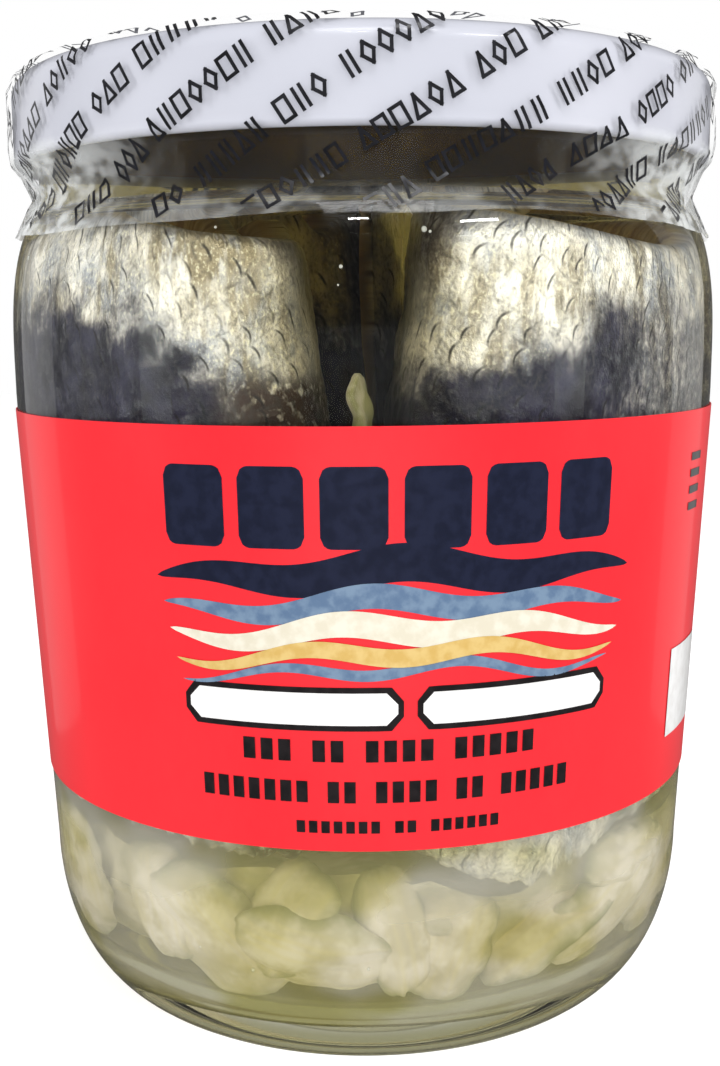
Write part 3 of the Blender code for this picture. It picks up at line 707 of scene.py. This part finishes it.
# Outlines of the plain marks printed on the film, in shares of a mark's width and height
MARKS = (
    (((0, 0), (1, 0), (1, 1), (0, 1), (0, 0)),),
    (((0, 0), (1, 0), (0.5, 1), (0, 0)),),
    (((0.5, 0), (1, 0.5), (0.5, 1), (0, 0.5), (0.5, 0)),),
    (((0.2, 0), (0.2, 1)), ((0.8, 0), (0.8, 1))),
)
MARK_STROKE = 0.36 * MM
MARK_PITCH = 1.95 * MM


def band_stroke(row_start, slant, start, end):
    """A thin stroke on the film between two points given along and across a slanted row."""
    (u0, v0), (u1, v1) = start, end
    long = np.hypot(u1 - u0, v1 - v0)
    across = np.array([v0 - v1, u1 - u0]) / long * MARK_STROKE / 2
    over = 0.5 * MARK_STROKE / long
    s, t = np.meshgrid(np.linspace(-over, 1 + over, 5), (-1.0, 0.0, 1.0))
    u = mix(u0, u1, s) + across[0] * t
    v = mix(v0, v1, s) + across[1] * t
    side = row_start + u * cos(slant) - v * sin(slant)
    down = BAND_LENGTH - (u * sin(slant) + v * cos(slant))
    if down.min() < 0.3 * MM or down.max() > BAND_LENGTH - 0.3 * MM:
        return None
    return band_point(side / BAND_SIDE, down, PRINT_LIFT).reshape(-1, 3)


def band_marks():
    """Slanted rows of plain open marks on the film, in groups, where it has print."""
    points = []
    slant = radians(32)
    row_pitch, tall, wide = 6.4 * MM, 2.1 * MM, 1.25 * MM
    around = tau * BAND_SIDE
    rows = int(around * sin(slant) / row_pitch)
    step = around / rows
    for row in range(rows):
        along, seed = 1.0 * MM, row * 50
        left_in_group = 3 + int(5 * share(seed))
        while along < BAND_LENGTH / sin(slant) - 2 * MM:
            for line in MARKS[int(4 * share(seed + 7))]:
                corners = [(along + x * wide, (y - 0.5) * tall) for x, y in line]
                strokes = [band_stroke(row * step, slant, a, b) for a, b in zip(corners, corners[1:])]
                points += [stroke for stroke in strokes if stroke is not None]
            seed += 1
            left_in_group -= 1
            along += MARK_PITCH
            if left_in_group == 0:
                along += 1.5 * MM
                left_in_group = 3 + int(5 * share(seed))
    faces = np.concatenate([grid_faces(3, 5) + 15 * i for i in range(len(points))])
    ink = ink_material("film_ink", (20, 20, 24), (34, 34, 40))
    add_piece("band_print", np.concatenate(points), faces, ink, "clear_film", closed=False)


def label():
    profile = wall_line(outer_radius, LABEL_TOP, LABEL_BOTTOM, 20, LABEL_OVER)
    profile += wall_line(outer_radius, LABEL_TOP, LABEL_BOTTOM, 20, LABEL_UNDER)[::-1]
    points, faces = turned(profile, LABEL_STEPS, closed=True)
    add_piece("red_label", points, faces, label_material(), "label_paper", ["label"])


def label_point(degrees_round, z, lift):
    a = np.radians(degrees_round)
    r = outer_radius(z) + LABEL_OVER + lift
    return np.stack([r * np.sin(a), -r * np.cos(a), z], -1)


class Print:
    """Collects thin patches of one ink that lie on the label."""

    def __init__(self, name, lift, *colours):
        self.name, self.lift, self.colours = name, lift, colours
        self.points, self.faces, self.count = [], [], 0

    def strip(self, left, right, lower, upper, columns=24, rows=4):
        """A patch between two angles; lower and upper give its edges' heights in mm at a share across."""
        s, t = np.meshgrid(np.linspace(0, 1, columns), np.linspace(0, 1, rows))
        z = mix(lower(s), upper(s), t) * MM
        self.points.append(label_point(mix(left, right, s), z, self.lift * PRINT_LIFT).reshape(-1, 3))
        self.faces.append(grid_faces(rows, columns) + self.count)
        self.count += rows * columns

    def block(self, left, right, low, high, corner=0.0):
        """A patch with upright sides, whose corners are rounded off by so many degrees."""

        def inset(s):
            width = abs(right - left)
            near = np.clip(np.minimum(s, 1 - s) * width / max(corner, 1e-6), 0.0, 1.0)
            return (1 - np.sqrt(1 - (1 - near) ** 2)) * corner * 0.75

        self.strip(left, right, lambda s: low + inset(s), lambda s: high - inset(s), 20, 4)

    def finish(self):
        points, faces = np.concatenate(self.points), np.concatenate(self.faces)
        ink = ink_material(self.name, *self.colours)
        add_piece(self.name, points, faces, ink, "label_paper", closed=False)


def label_prints():
    inks = navy, steel, cream, gold, black, white, grey = (
        Print("print_navy", 1, (18, 24, 48), (26, 32, 58)),
        Print("print_steel", 2, (92, 118, 150), (120, 144, 170)),
        Print("print_cream", 3, (226, 218, 196), (238, 232, 214)),
        Print("print_gold", 4, (214, 176, 96), (226, 194, 122)),
        Print("print_black", 2, (22, 18, 20), (34, 28, 30)),
        Print("print_white", 3, (240, 238, 236), (250, 249, 248)),
        Print("print_grey", 4, (70, 66, 68), (88, 84, 86)),
    )

    # Six equal blocks
    for i in range(6):
        left = -28.0 + 11.1 * i
        navy.block(left, left + 9.0, 59.6, 67.8, 1.6)

    # Layered bands of sea, with tapered ends
    def taper(s):
        return np.sin(pi * s) ** 0.6

    bands = ((navy, 57.6, 3.9, 0.0), (steel, 54.3, 2.6, 0.9), (cream, 51.6, 2.8, 1.7), (gold, 49.2, 1.9, 2.6),
             (steel, 47.5, 1.2, 3.4))
    for ink, height, thick, shift in bands:
        def centre(s):
            return height - 1.4 * smooth(abs(2 * s - 1)) + 0.7 * np.sin(tau * (2.5 * s + 0.2 * shift))

        ink.strip(-30.0 + shift, 41.0 - shift, lambda s: centre(s) - thick / 2 * taper(s),
                  lambda s: centre(s) + thick / 2 * taper(s), 90, 4)

    # Two white bars with black borders
    for left, right in ((-25.5, 4.5), (8.0, 36.5)):
        black.block(left - 0.8, right + 0.8, 40.9, 45.5, 2.0)
        white.block(left, right, 41.5, 44.9, 1.6)

    # Rows of short dashes
    for low, high, start, end, words in ((37.6, 39.9, -17.5, 25.5, (3, 2, 4, 5)),
                                         (33.2, 35.5, -24.0, 31.5, (7, 2, 4, 2, 5)),
                                         (29.9, 31.2, -10.0, 20.0, (7, 2, 6))):
        pitch = (end - start) / (sum(words) + 0.9 * (len(words) - 1))
        at = start
        for word in words:
            for letter in range(word):
                black.block(at, at + 0.68 * pitch, low, high)
                at += pitch
            at += 0.9 * pitch

    # The small print at the label's right edge, and the plain panel round the back
    for i in range(4):
        black.block(59.0, 64.0, 66.0 - 1.9 * i, 66.9 - 1.9 * i)
    white.block(56.5, 72.0, 34.0, 44.5)
    white.block(118.0, 205.0, 34.0, 66.0, 1.5)
    for i in range(9):
        grey.block(123.0, 200.0 - 12 * share(i + 70), 37.0 + 3.1 * i, 37.7 + 3.1 * i)
    for ink in inks:
        ink.finish()


# The fish


def roll_gap(climb, top_gap):
    gap = mix(ROLL_GAP_BOTTOM, ROLL_GAP_MIDDLE, climb)
    return gap + (top_gap - ROLL_GAP_MIDDLE) * smooth((climb - 0.5) / 0.5)


def roll_reach(roll, angle, z):
    """How far a roll reaches from its centre line: to the glass, to its neighbours, or its free radius."""
    x, y, parting, top_gap, _ = roll
    across, along = np.cos(angle), np.sin(angle)
    glass = inner_radius(z) - ROLL_TO_GLASS
    inward = x * across + y * along
    climb = (z - ROLL_BOTTOM) / (ROLL_TOP - ROLL_BOTTOM)
    squeeze = mix(11.0, 6.5, climb)
    total = FREE_ROLL_RADIUS**-squeeze
    total = total + (np.sqrt(inward**2 + glass**2 - x * x - y * y) - inward) ** -squeeze
    for to_plane, part, top in ((parting - x, across, top_gap), (-y, along, FRONT_TO_BACK_GAP_TOP)):
        towards = (to_plane * part > 0) & (np.abs(part) > 1e-3)
        reach = (abs(to_plane) - roll_gap(climb, top) / 2) / np.where(towards, np.abs(part), 1.0)
        total = total + np.where(towards, reach**-squeeze, 0.0)
    return total ** (-1 / squeeze)


def fillet_thickness(turn):
    tail = mix(0.22, 1.0, smooth(turn / 0.55))
    inner_end = mix(1.0, 0.55, smooth((turn - ROLL_TURNS + 0.5) / 0.5))
    return FILLET * tail * inner_end


def roll_inset(turn):
    """How far below the roll's outside the fillet's skin lies, after so many turns inwards."""
    whole = np.floor(turn)
    part = turn - whole
    inset = (fillet_thickness(0.0) + TURN_GAP) * part**2
    for i in range(int(ROLL_TURNS) + 1):
        inset = inset + np.where(whole > i, fillet_thickness(part + i) + TURN_GAP, 0.0)
    return inset


def flap(angle):
    return smooth(1 - np.abs(angle - FLAP_MIDDLE) / FLAP_HALF_WIDTH)


def roll_ends(x, y, turn, seed):
    a = np.arctan2(y, x)
    low = ROLL_BOTTOM + 0.6 * MM * (1 + np.sin(5 * a + seed)) + 0.7 * MM * (1 + np.sin(5.3 * turn + seed))
    high = ROLL_TOP - 1.0 * MM * (1 + np.sin(4 * a + 2 * seed)) - 0.6 * MM * (1 + np.sin(7.1 * turn + seed))
    outer_turn = 1 - smooth((turn - 0.7) / 0.3)
    return low - FLAP_DROP * flap(a) * outer_turn, high


# Where the slate back gives way to the silver belly: degrees round from the front, height in mm
UPPER_EDGE = ((-180, 79), (-120, 84), (-85, 82), (-54, 84), (-33, 81.5), (-26, 78.8), (-16, 73.5),
              (-4, 69), (0, 70), (5, 76.8), (18, 77.5), (25, 79.2), (32, 79.8), (38, 84), (60, 84.5),
              (100, 80), (140, 84), (180, 79))
LOWER_EDGE = 34.0 * MM


def back_share(x, y, z, seed):
    """How far the skin is slate: all of it in the middle heights, none at the bellies above and below."""
    degrees_round = np.degrees(np.arctan2(x, -y))
    upper = np.interp(degrees_round, *zip(*UPPER_EDGE)) * MM
    upper = upper + 1.1 * MM * ripple(degrees_round / 9, z / (6 * MM), seed + 20)
    lower = LOWER_EDGE + 1.5 * MM * ripple(degrees_round / 12, z / (6 * MM), seed + 30)
    return smooth((upper + 4.5 * MM - z) / (9.0 * MM)) * smooth((z - lower + 2.0 * MM) / (4.0 * MM))


def spread(edges, steps):
    """Numbers that run through the edges, each stretch in its own number of steps."""
    parts = [np.linspace(a, b, n, endpoint=False) for a, b, n in zip(edges, edges[1:], steps)]
    return np.concatenate([*parts, edges[-1:]])


def rollmop(name, roll, mat):
    """One rolled fillet, at fine steps where it shows through the glass."""
    x, y, _, _, seed = roll
    turns = spread((0.0, 0.12, 0.88, 1.0, ROLL_TURNS), (16, 200, 12, 56))
    start = np.arctan2(-y, -x) + 0.25 * wave(seed)
    levels = spread((0.0, 0.03, 0.12, 0.66, 0.96, 1.0), (8, 16, 16, 66, 8))
    edge = np.minimum(levels / 0.04, (1 - levels) / 0.035)
    thinner = 0.45 + 0.55 * np.sqrt(1 - (1 - np.clip(edge, 0, 1)) ** 2)
    middle = (ROLL_BOTTOM + ROLL_TOP) / 2
    a = start + tau * turns
    near = roll_reach(roll, a, middle) * (1 - roll_inset(turns) / REFERENCE_RADIUS)
    low, high = roll_ends(x + near * np.cos(a), y + near * np.sin(a), turns, seed)
    ragged = 0.35 * MM * ripple(turns * 40, turns * 0, seed + 3)
    ragged = ragged + 0.25 * MM * ripple(turns * 110, turns * 0, seed + 4)
    low = low + ragged * (1 - smooth((turns - 0.9) / 0.1))
    turn, level = np.meshgrid(turns, levels)
    z = mix(low[None, :], high[None, :], level)
    angle = start + tau * turn
    reach = roll_reach(roll, angle, z)
    scale = reach / REFERENCE_RADIUS
    thick = fillet_thickness(turn)
    thin = thinner[:, None]
    skin = reach - scale * (roll_inset(turn) + 0.35 * (1 - thin) * thick)
    flesh = skin - scale * thick * thin
    round_mm = tau * turn * REFERENCE_RADIUS / MM
    height_mm = z / MM
    relief = 0.22 * MM * ripple(round_mm / 14, height_mm / 9, seed + 8) - 0.12 * MM
    relief = relief + 0.07 * MM * ripple(round_mm / 2.6, height_mm / 2.6, seed + 9)
    skin = skin + relief * smooth(turn / 0.05)
    flesh = flesh + 0.15 * MM * ripple(round_mm / 3, height_mm / 8, seed + 10)
    sides = (skin, flesh)
    outer, inner = (np.stack([x + r * np.cos(angle), y + r * np.sin(angle), z], -1) for r in sides)
    rows, columns = turn.shape
    points = np.concatenate([outer, inner[:, ::-1]], axis=1).reshape(-1, 3)
    i = np.arange(columns - 1)
    last = 2 * columns - 1 - i
    end = np.stack([i, i + 1, last - 1, last], -1)
    faces = [grid_faces(rows, 2 * columns, wrap=True), end, end + (rows - 1) * 2 * columns]
    at_x, at_y, height = points.T
    back = back_share(at_x, at_y, height, seed)
    on_flesh = np.tile(np.repeat([0.0, 1.0], columns), rows)
    both = np.concatenate([round_mm, round_mm[:, ::-1]], axis=1).ravel()
    gold = smooth(0.5 + 0.8 * ripple(both / 16, height / (20 * MM), seed + 12))
    aside = np.degrees(np.arctan2(at_x, np.abs(at_y)))
    brown = smooth((-1 - aside) / 4) * smooth((aside + 24) / 6) * smooth((78.5 * MM - height) / (4 * MM))
    cream = np.exp(-(((np.abs(aside) - 28) / 13) ** 2) - ((height - 85 * MM) / (7 * MM)) ** 2)
    cream = cream * np.where(aside > 0, 1.0, 0.2)
    tan = np.exp(-(((aside + 24) / 12) ** 2) - ((height - 89 * MM) / (5 * MM)) ** 2)
    gold = np.maximum(gold, 1.8 * tan)
    back = back * (1 - 0.4 * smooth((aside - 30) / 25))
    # Painted shade: the skin darkens towards the parting between the left and right rolls, over a wider band
    # near the top, where the gap lies in shade
    half_shade = 2.5 + np.maximum(0.0, height / MM - 75) * 0.8
    dusk = smooth((half_shade - np.abs(aside) + 4) / 8) * smooth((height - 40 * MM) / (10 * MM))
    along_skin = np.stack([both * (1 if x > 0 else -1), height / MM, 0 * both], -1)
    values = {"skin": along_skin, "brown": brown, "cream": cream, "dusk": dusk}
    values |= {"back": back, "flesh": on_flesh, "gold": gold}
    visible = name.replace("rollmop", "herring")
    add_piece(visible, points, np.concatenate(faces), mat, "herring", [name], values=values)


# The onion


def bed_ceiling(points):
    return BED_TOP - FLAP_DROP * flap(np.arctan2(points[:, 1], points[:, 0]))


def bed_room(z):
    return inner_radius(z) - BED_CLEARANCE


def settled(points, place):
    """Shifts a slice as a whole until it lies between the floor, the fish and the glass."""
    too_low = max(0.0, BED_BOTTOM - points[:, 2].min())
    too_high = max(0.0, (points[:, 2] - bed_ceiling(points)).max())
    points = points + [0.0, 0.0, too_low - too_high]
    outwards = np.array([place.x, place.y, 0.0])
    outwards /= np.linalg.norm(outwards)
    x, y, z = points.T
    too_far = max(0.0, (np.hypot(x, y) - bed_room(z)).max())
    return points - outwards * too_far


def inside_bed(points):
    x, y, z = points.T
    z = np.minimum(bed_ceiling(points), np.maximum(BED_BOTTOM, z))
    room = np.minimum(1.0, bed_room(z) / np.hypot(x, y))
    return np.stack([x * room, y * room, z], -1)


def slice_points(place, turn, length, width, thick, seed):
    """A curved slice of onion with rounded rims: points, faces, and coordinates along and across it."""
    along, across = 27, 17
    u, v = np.meshgrid(np.linspace(-1, 1, along), np.linspace(-1, 1, across), indexing="ij")
    half = width / 2 * np.sqrt(1 - 0.86 * np.abs(u) ** 3)
    half = half * (1 + 0.05 * ripple(2 * u + seed, v, seed))
    x, y = length / 2 * u, half * v
    bend = -(x * x) / (2 * PETAL_BEND_ALONG) - (y * y) / (2 * PETAL_BEND_ACROSS)
    rim = np.sqrt(np.clip(1 - np.abs(v) ** 8, 0, 1)) * np.sqrt(np.clip(1 - np.abs(u) ** 10, 0, 1))
    body = thick * (1 - 0.35 * v * v) * (1 - 0.3 * u * u) * (0.25 + 0.75 * rim) / 2
    ribs = 0.04 * MM * np.sin(v * 14 + seed) + 0.25 * MM * ripple(u * 1.2, v * 1.2, seed + 2)
    turned_by = np.array(turn.to_matrix())
    sides = []
    for side in (1, -1):
        local = np.stack([x, y, bend + side * body + ribs], -1).reshape(-1, 3)
        sides.append(local @ turned_by.T + np.array(place))
    count = along * across
    top = grid_faces(along, across)
    grid = np.arange(count).reshape(along, across)
    rim_line = np.concatenate([grid[:, 0], grid[-1, 1:], grid[-2::-1, -1], grid[0, -2:0:-1]])
    after = np.roll(rim_line, -1)
    rim_faces = np.stack([rim_line, after, after + count, rim_line + count], -1)
    faces = np.concatenate([top, top + count, rim_faces])
    leaf = np.stack([x / MM, y / MM, 0 * x + seed], -1).reshape(-1, 3)
    edge = np.maximum(np.abs(v) ** 5, np.abs(u) ** 9).ravel()
    return np.concatenate(sides), faces, np.concatenate([leaf, leaf]), np.concatenate([edge, edge])


def petal_place(a, z, lean, roll, tilt, depth):
    slope = float(np.arctan2(inner_radius(z + MM) - inner_radius(z - MM), 2 * MM))
    r = float(inner_radius(z)) - depth * cos(slope)
    place = Vector((r * cos(a), r * sin(a), z + depth * sin(slope)))
    round_jar = Quaternion((0, 0, 1), a)
    stood_up = Quaternion((0, 1, 0), radians(90) + slope + tilt)
    return place, round_jar @ stood_up @ Quaternion((0, 0, 1), lean) @ Quaternion((1, 0, 0), roll)


def petal_places():
    """Each slice's place, turn, length, width and thickness: the front ones, then tiers round the rest."""
    for i, (a, z, lean, roll, length, width, depth) in enumerate(FRONT_SLICES):
        place = petal_place(radians(a - 90), z * MM, radians(lean), radians(roll), 0.0, depth * MM)
        yield *place, length * MM, width * MM, mix(*PETAL_THICKNESSES, share(i))
    tiers = len(PETAL_TIERS)
    for i in range(tiers * PETALS_IN_TIER):
        tier = i % tiers
        a = tau * (i // tiers + tier / tiers) / PETALS_IN_TIER + radians(7) * wave(i)
        if cos(a + radians(90)) > cos(FRONT_HALF_WIDTH):
            continue
        z = PETAL_TIERS[tier] + 1.0 * MM * wave(i + 10)
        lean, roll, tilt = (radians(most) * wave(i + seed) for most, seed in ((75, 40), (18, 60), (14, 100)))
        place = petal_place(a, z, lean, roll, tilt, mix(*PETAL_DEPTHS, share(i + 20)))
        sizes = (PETAL_LENGTHS, PETAL_WIDTHS, PETAL_THICKNESSES)
        yield *place, *(mix(*size, share(i + 80 + 40 * k)) for k, size in enumerate(sizes))


def bed_core():
    steps, rings = 110, 24
    i, j = np.mgrid[0 : rings + 1, 0:steps]
    a = tau * j / steps
    z = mix(BED_BOTTOM, CORE_TOP, i / rings)
    lumps = ripple(9 * np.cos(a) / 2, 9 * np.sin(a) / 2 + z / (7 * MM), 6)
    r = inner_radius(z) - CORE_DEPTH + 0.8 * MM * lumps
    rise = 0.8 * MM * ripple(a * 3, a * 0, 7) * (i == rings)
    points = np.stack([r * np.cos(a), r * np.sin(a), z + rise], -1).reshape(-1, 3)
    points[:, 2] = np.minimum(points[:, 2], bed_ceiling(points) - 0.3 * MM)
    faces = grid_faces(rings + 1, steps, wrap=True).tolist()
    ends = ((0, BED_BOTTOM), (rings * steps, CORE_TOP + 1.5 * MM))
    for start, height in ends:
        middle = len(points)
        points = np.vstack([points, [0.0, 0.0, height]])
        faces += [(start + k, start + (k + 1) % steps, middle) for k in range(steps)]
    return points, faces


def onion_pieces():
    mat = onion_material()
    points, faces = bed_core()
    leaf = points / MM * [0.3, 0.3, 1.0]
    all_points, all_faces, leaves, rims = [points], list(faces), [leaf], [0.5 + 0 * leaf[:, 0]]
    count = len(points)
    for i, (place, turn, length, width, thick) in enumerate(petal_places()):
        points, faces, leaf, rim = slice_points(place, turn, length, width, thick, i)
        all_points.append(inside_bed(settled(points, place)))
        all_faces += (faces + count).tolist()
        leaves.append(leaf)
        rims.append(rim)
        count += len(points)
    points = np.concatenate(all_points)
    values = {"leaf": np.concatenate(leaves), "rim": np.concatenate(rims)}
    add_piece("onion_slices", points, all_faces, mat, "onion", ["onion_bed"], values=values)
    place = Vector((0.0, -SLIVER_OUT, SLIVER_MIDDLE))
    turn = Quaternion((0, 1, 0), radians(90)) @ Quaternion((1, 0, 0), radians(6))
    size = (SLIVER_LENGTH, SLIVER_WIDTH, SLIVER_THICKNESS)
    points, faces, leaf, rim = slice_points(place, turn, *size, 3)
    values = {"leaf": leaf, "rim": 1.6 + 0.25 * rim}
    add_piece("sliver", points, faces, mat, "onion", ["onion_sliver"], values=values)


def bubbles():
    """Small bubbles that cling to the glass, most of them under the shoulder."""
    points, faces = [], []
    ball, ball_faces = turned(arc(0.0, 0.0, 1.0, 1.0, -90, 90, 6), 10)
    for i in range(BUBBLES):
        high = i % 3 > 0
        z = mix(82.0, 91.0, share(i + 300) ** 0.5) * MM if high else mix(9.0, 30.0, share(i + 300)) * MM
        size = mix(0.10, 0.32, share(i + 400) ** 3) * MM
        a = tau * share(i + 500)
        r = float(inner_radius(z)) - 1.15 * size
        place = np.array([r * sin(a), -r * cos(a), z])
        faces.append(ball_faces + len(ball) * i)
        points.append(ball * size + place)
    # The bubbles' whitish colour is a painted reflection, standing in for the bright light that gas bubbles
    # mirror
    gas = {"Roughness": 0.08, "IOR": 1.3, "Alpha": 0.55}
    mat = mottled_material("small_bubbles", gas, 400.0, 2.0, (206, 208, 196), (246, 246, 240))
    add_piece("bubbles", np.concatenate(points), np.concatenate(faces), mat)


# The stage


def stage():
    mesh = bpy.data.meshes.new("floor")
    half = 1.5
    corners = [(-half, -half, 0), (half, -half, 0), (half, half, 0), (-half, half, 0)]
    mesh.from_pydata(corners, [], [(0, 1, 2, 3)])
    white = {"Roughness": 0.9, "Emission Color": WHITE, "Emission Strength": 0.32}
    mat = mottled_material("pale_floor", white, 30.0, 2.0, (250, 250, 250), (254, 254, 254))
    mesh.materials.append(mat)
    floor = add_object("floor", mesh)
    floor.visible_diffuse = floor.visible_glossy = floor.visible_transmission = floor.visible_shadow = False


def softbox(name, place, width, height, power, mirrored=True):
    lamp = bpy.data.lights.new(name, "AREA")
    lamp.shape = "RECTANGLE"
    lamp.size, lamp.size_y = width, height
    lamp.energy = power
    box = add_object(name, lamp)
    box.location = place
    box.rotation_euler = (Vector(LIT_POINT) - Vector(place)).to_track_quat("-Z", "Y").to_euler()
    box.visible_glossy = mirrored


def world():
    """A white studio. A plain reflection sees a dimmer room than the wet skin inside the glass."""
    made = bpy.data.worlds.new("studio")
    bpy.context.scene.world = made
    made.use_nodes = True
    tree = made.node_tree
    path = node(tree, "LightPath").outputs
    backdrop = times(path["Is Camera Ray"], BACKDROP - ROOM)
    inside = maths("GREATER_THAN", path["Ray Depth"], DEPTH_THROUGH_JAR)
    behind = times(inside, ROOM_ON_SKIN - ROOM_BEHIND)
    behind = plus(behind, ROOM_BEHIND - MIRRORED_ROOM)
    level = plus(times(path["Is Transmission Ray"], behind), MIRRORED_ROOM - ROOM)
    mirrored = times(path["Is Glossy Ray"], level)
    strength = plus(plus(backdrop, mirrored), ROOM)
    tree.links.new(strength, tree.nodes["Background"].inputs["Strength"])
    tree.nodes["Background"].inputs["Color"].default_value = WHITE


def lights():
    softbox("left_softbox", (-0.50, -0.22, 0.20), 0.12, 0.5, 0.8, mirrored=False)
    softbox("right_softbox", (0.50, -0.22, 0.20), 0.12, 0.5, 0.9, mirrored=False)
    softbox("front_softbox", (0.0, -0.60, 0.02), 0.4, 0.3, 1.0, mirrored=False)
    softbox("high_softbox", (0.05, -0.45, 0.75), 0.4, 0.2, 1.0)
    softbox("small_glint", (-0.01, -0.40, 0.44), 0.05, 0.012, 0.11)
    softbox("long_glint", (0.31, -0.36, 0.46), 0.12, 0.02, 0.3)
    softbox("left_rim", (-0.50, 0.34, 0.12), 0.30, 0.6, 0.24)
    softbox("right_rim", (0.50, 0.34, 0.12), 0.30, 0.6, 0.24)


def camera():
    made = bpy.data.cameras.new("camera")
    made.sensor_width = 36.0
    made.lens = CAMERA_LENS
    made.clip_start = 0.01
    eye = add_object("camera", made)
    turn = Matrix.Rotation(CAMERA_YAW, 4, "Z") @ Matrix.Rotation(radians(90) - CAMERA_PITCH, 4, "X")
    eye.matrix_world = Matrix.Translation(CAMERA_PLACE) @ turn @ Matrix.Rotation(CAMERA_ROLL, 4, "Z")
    bpy.context.scene.camera = eye


def render_settings():
    cycles = bpy.context.scene.cycles
    cycles.max_bounces = cycles.transmission_bounces = 14
    cycles.transparent_max_bounces = 12
    cycles.glossy_bounces = 4
    cycles.diffuse_bounces = 1
    cycles.light_sampling_threshold = 0.05
    cycles.use_light_tree = False
    cycles.use_denoising = True
    bpy.context.scene.view_settings.view_transform = "Standard"


def main():
    camera()
    glass_jar()
    brine()
    lid()
    film_band()
    band_marks()
    label()
    label_prints()
    skin = skin_material()
    for name, roll in ROLLS.items():
        rollmop(name, roll, skin)
    onion_pieces()
    bubbles()
    stage()
    world()
    lights()
    render_settings()


main()
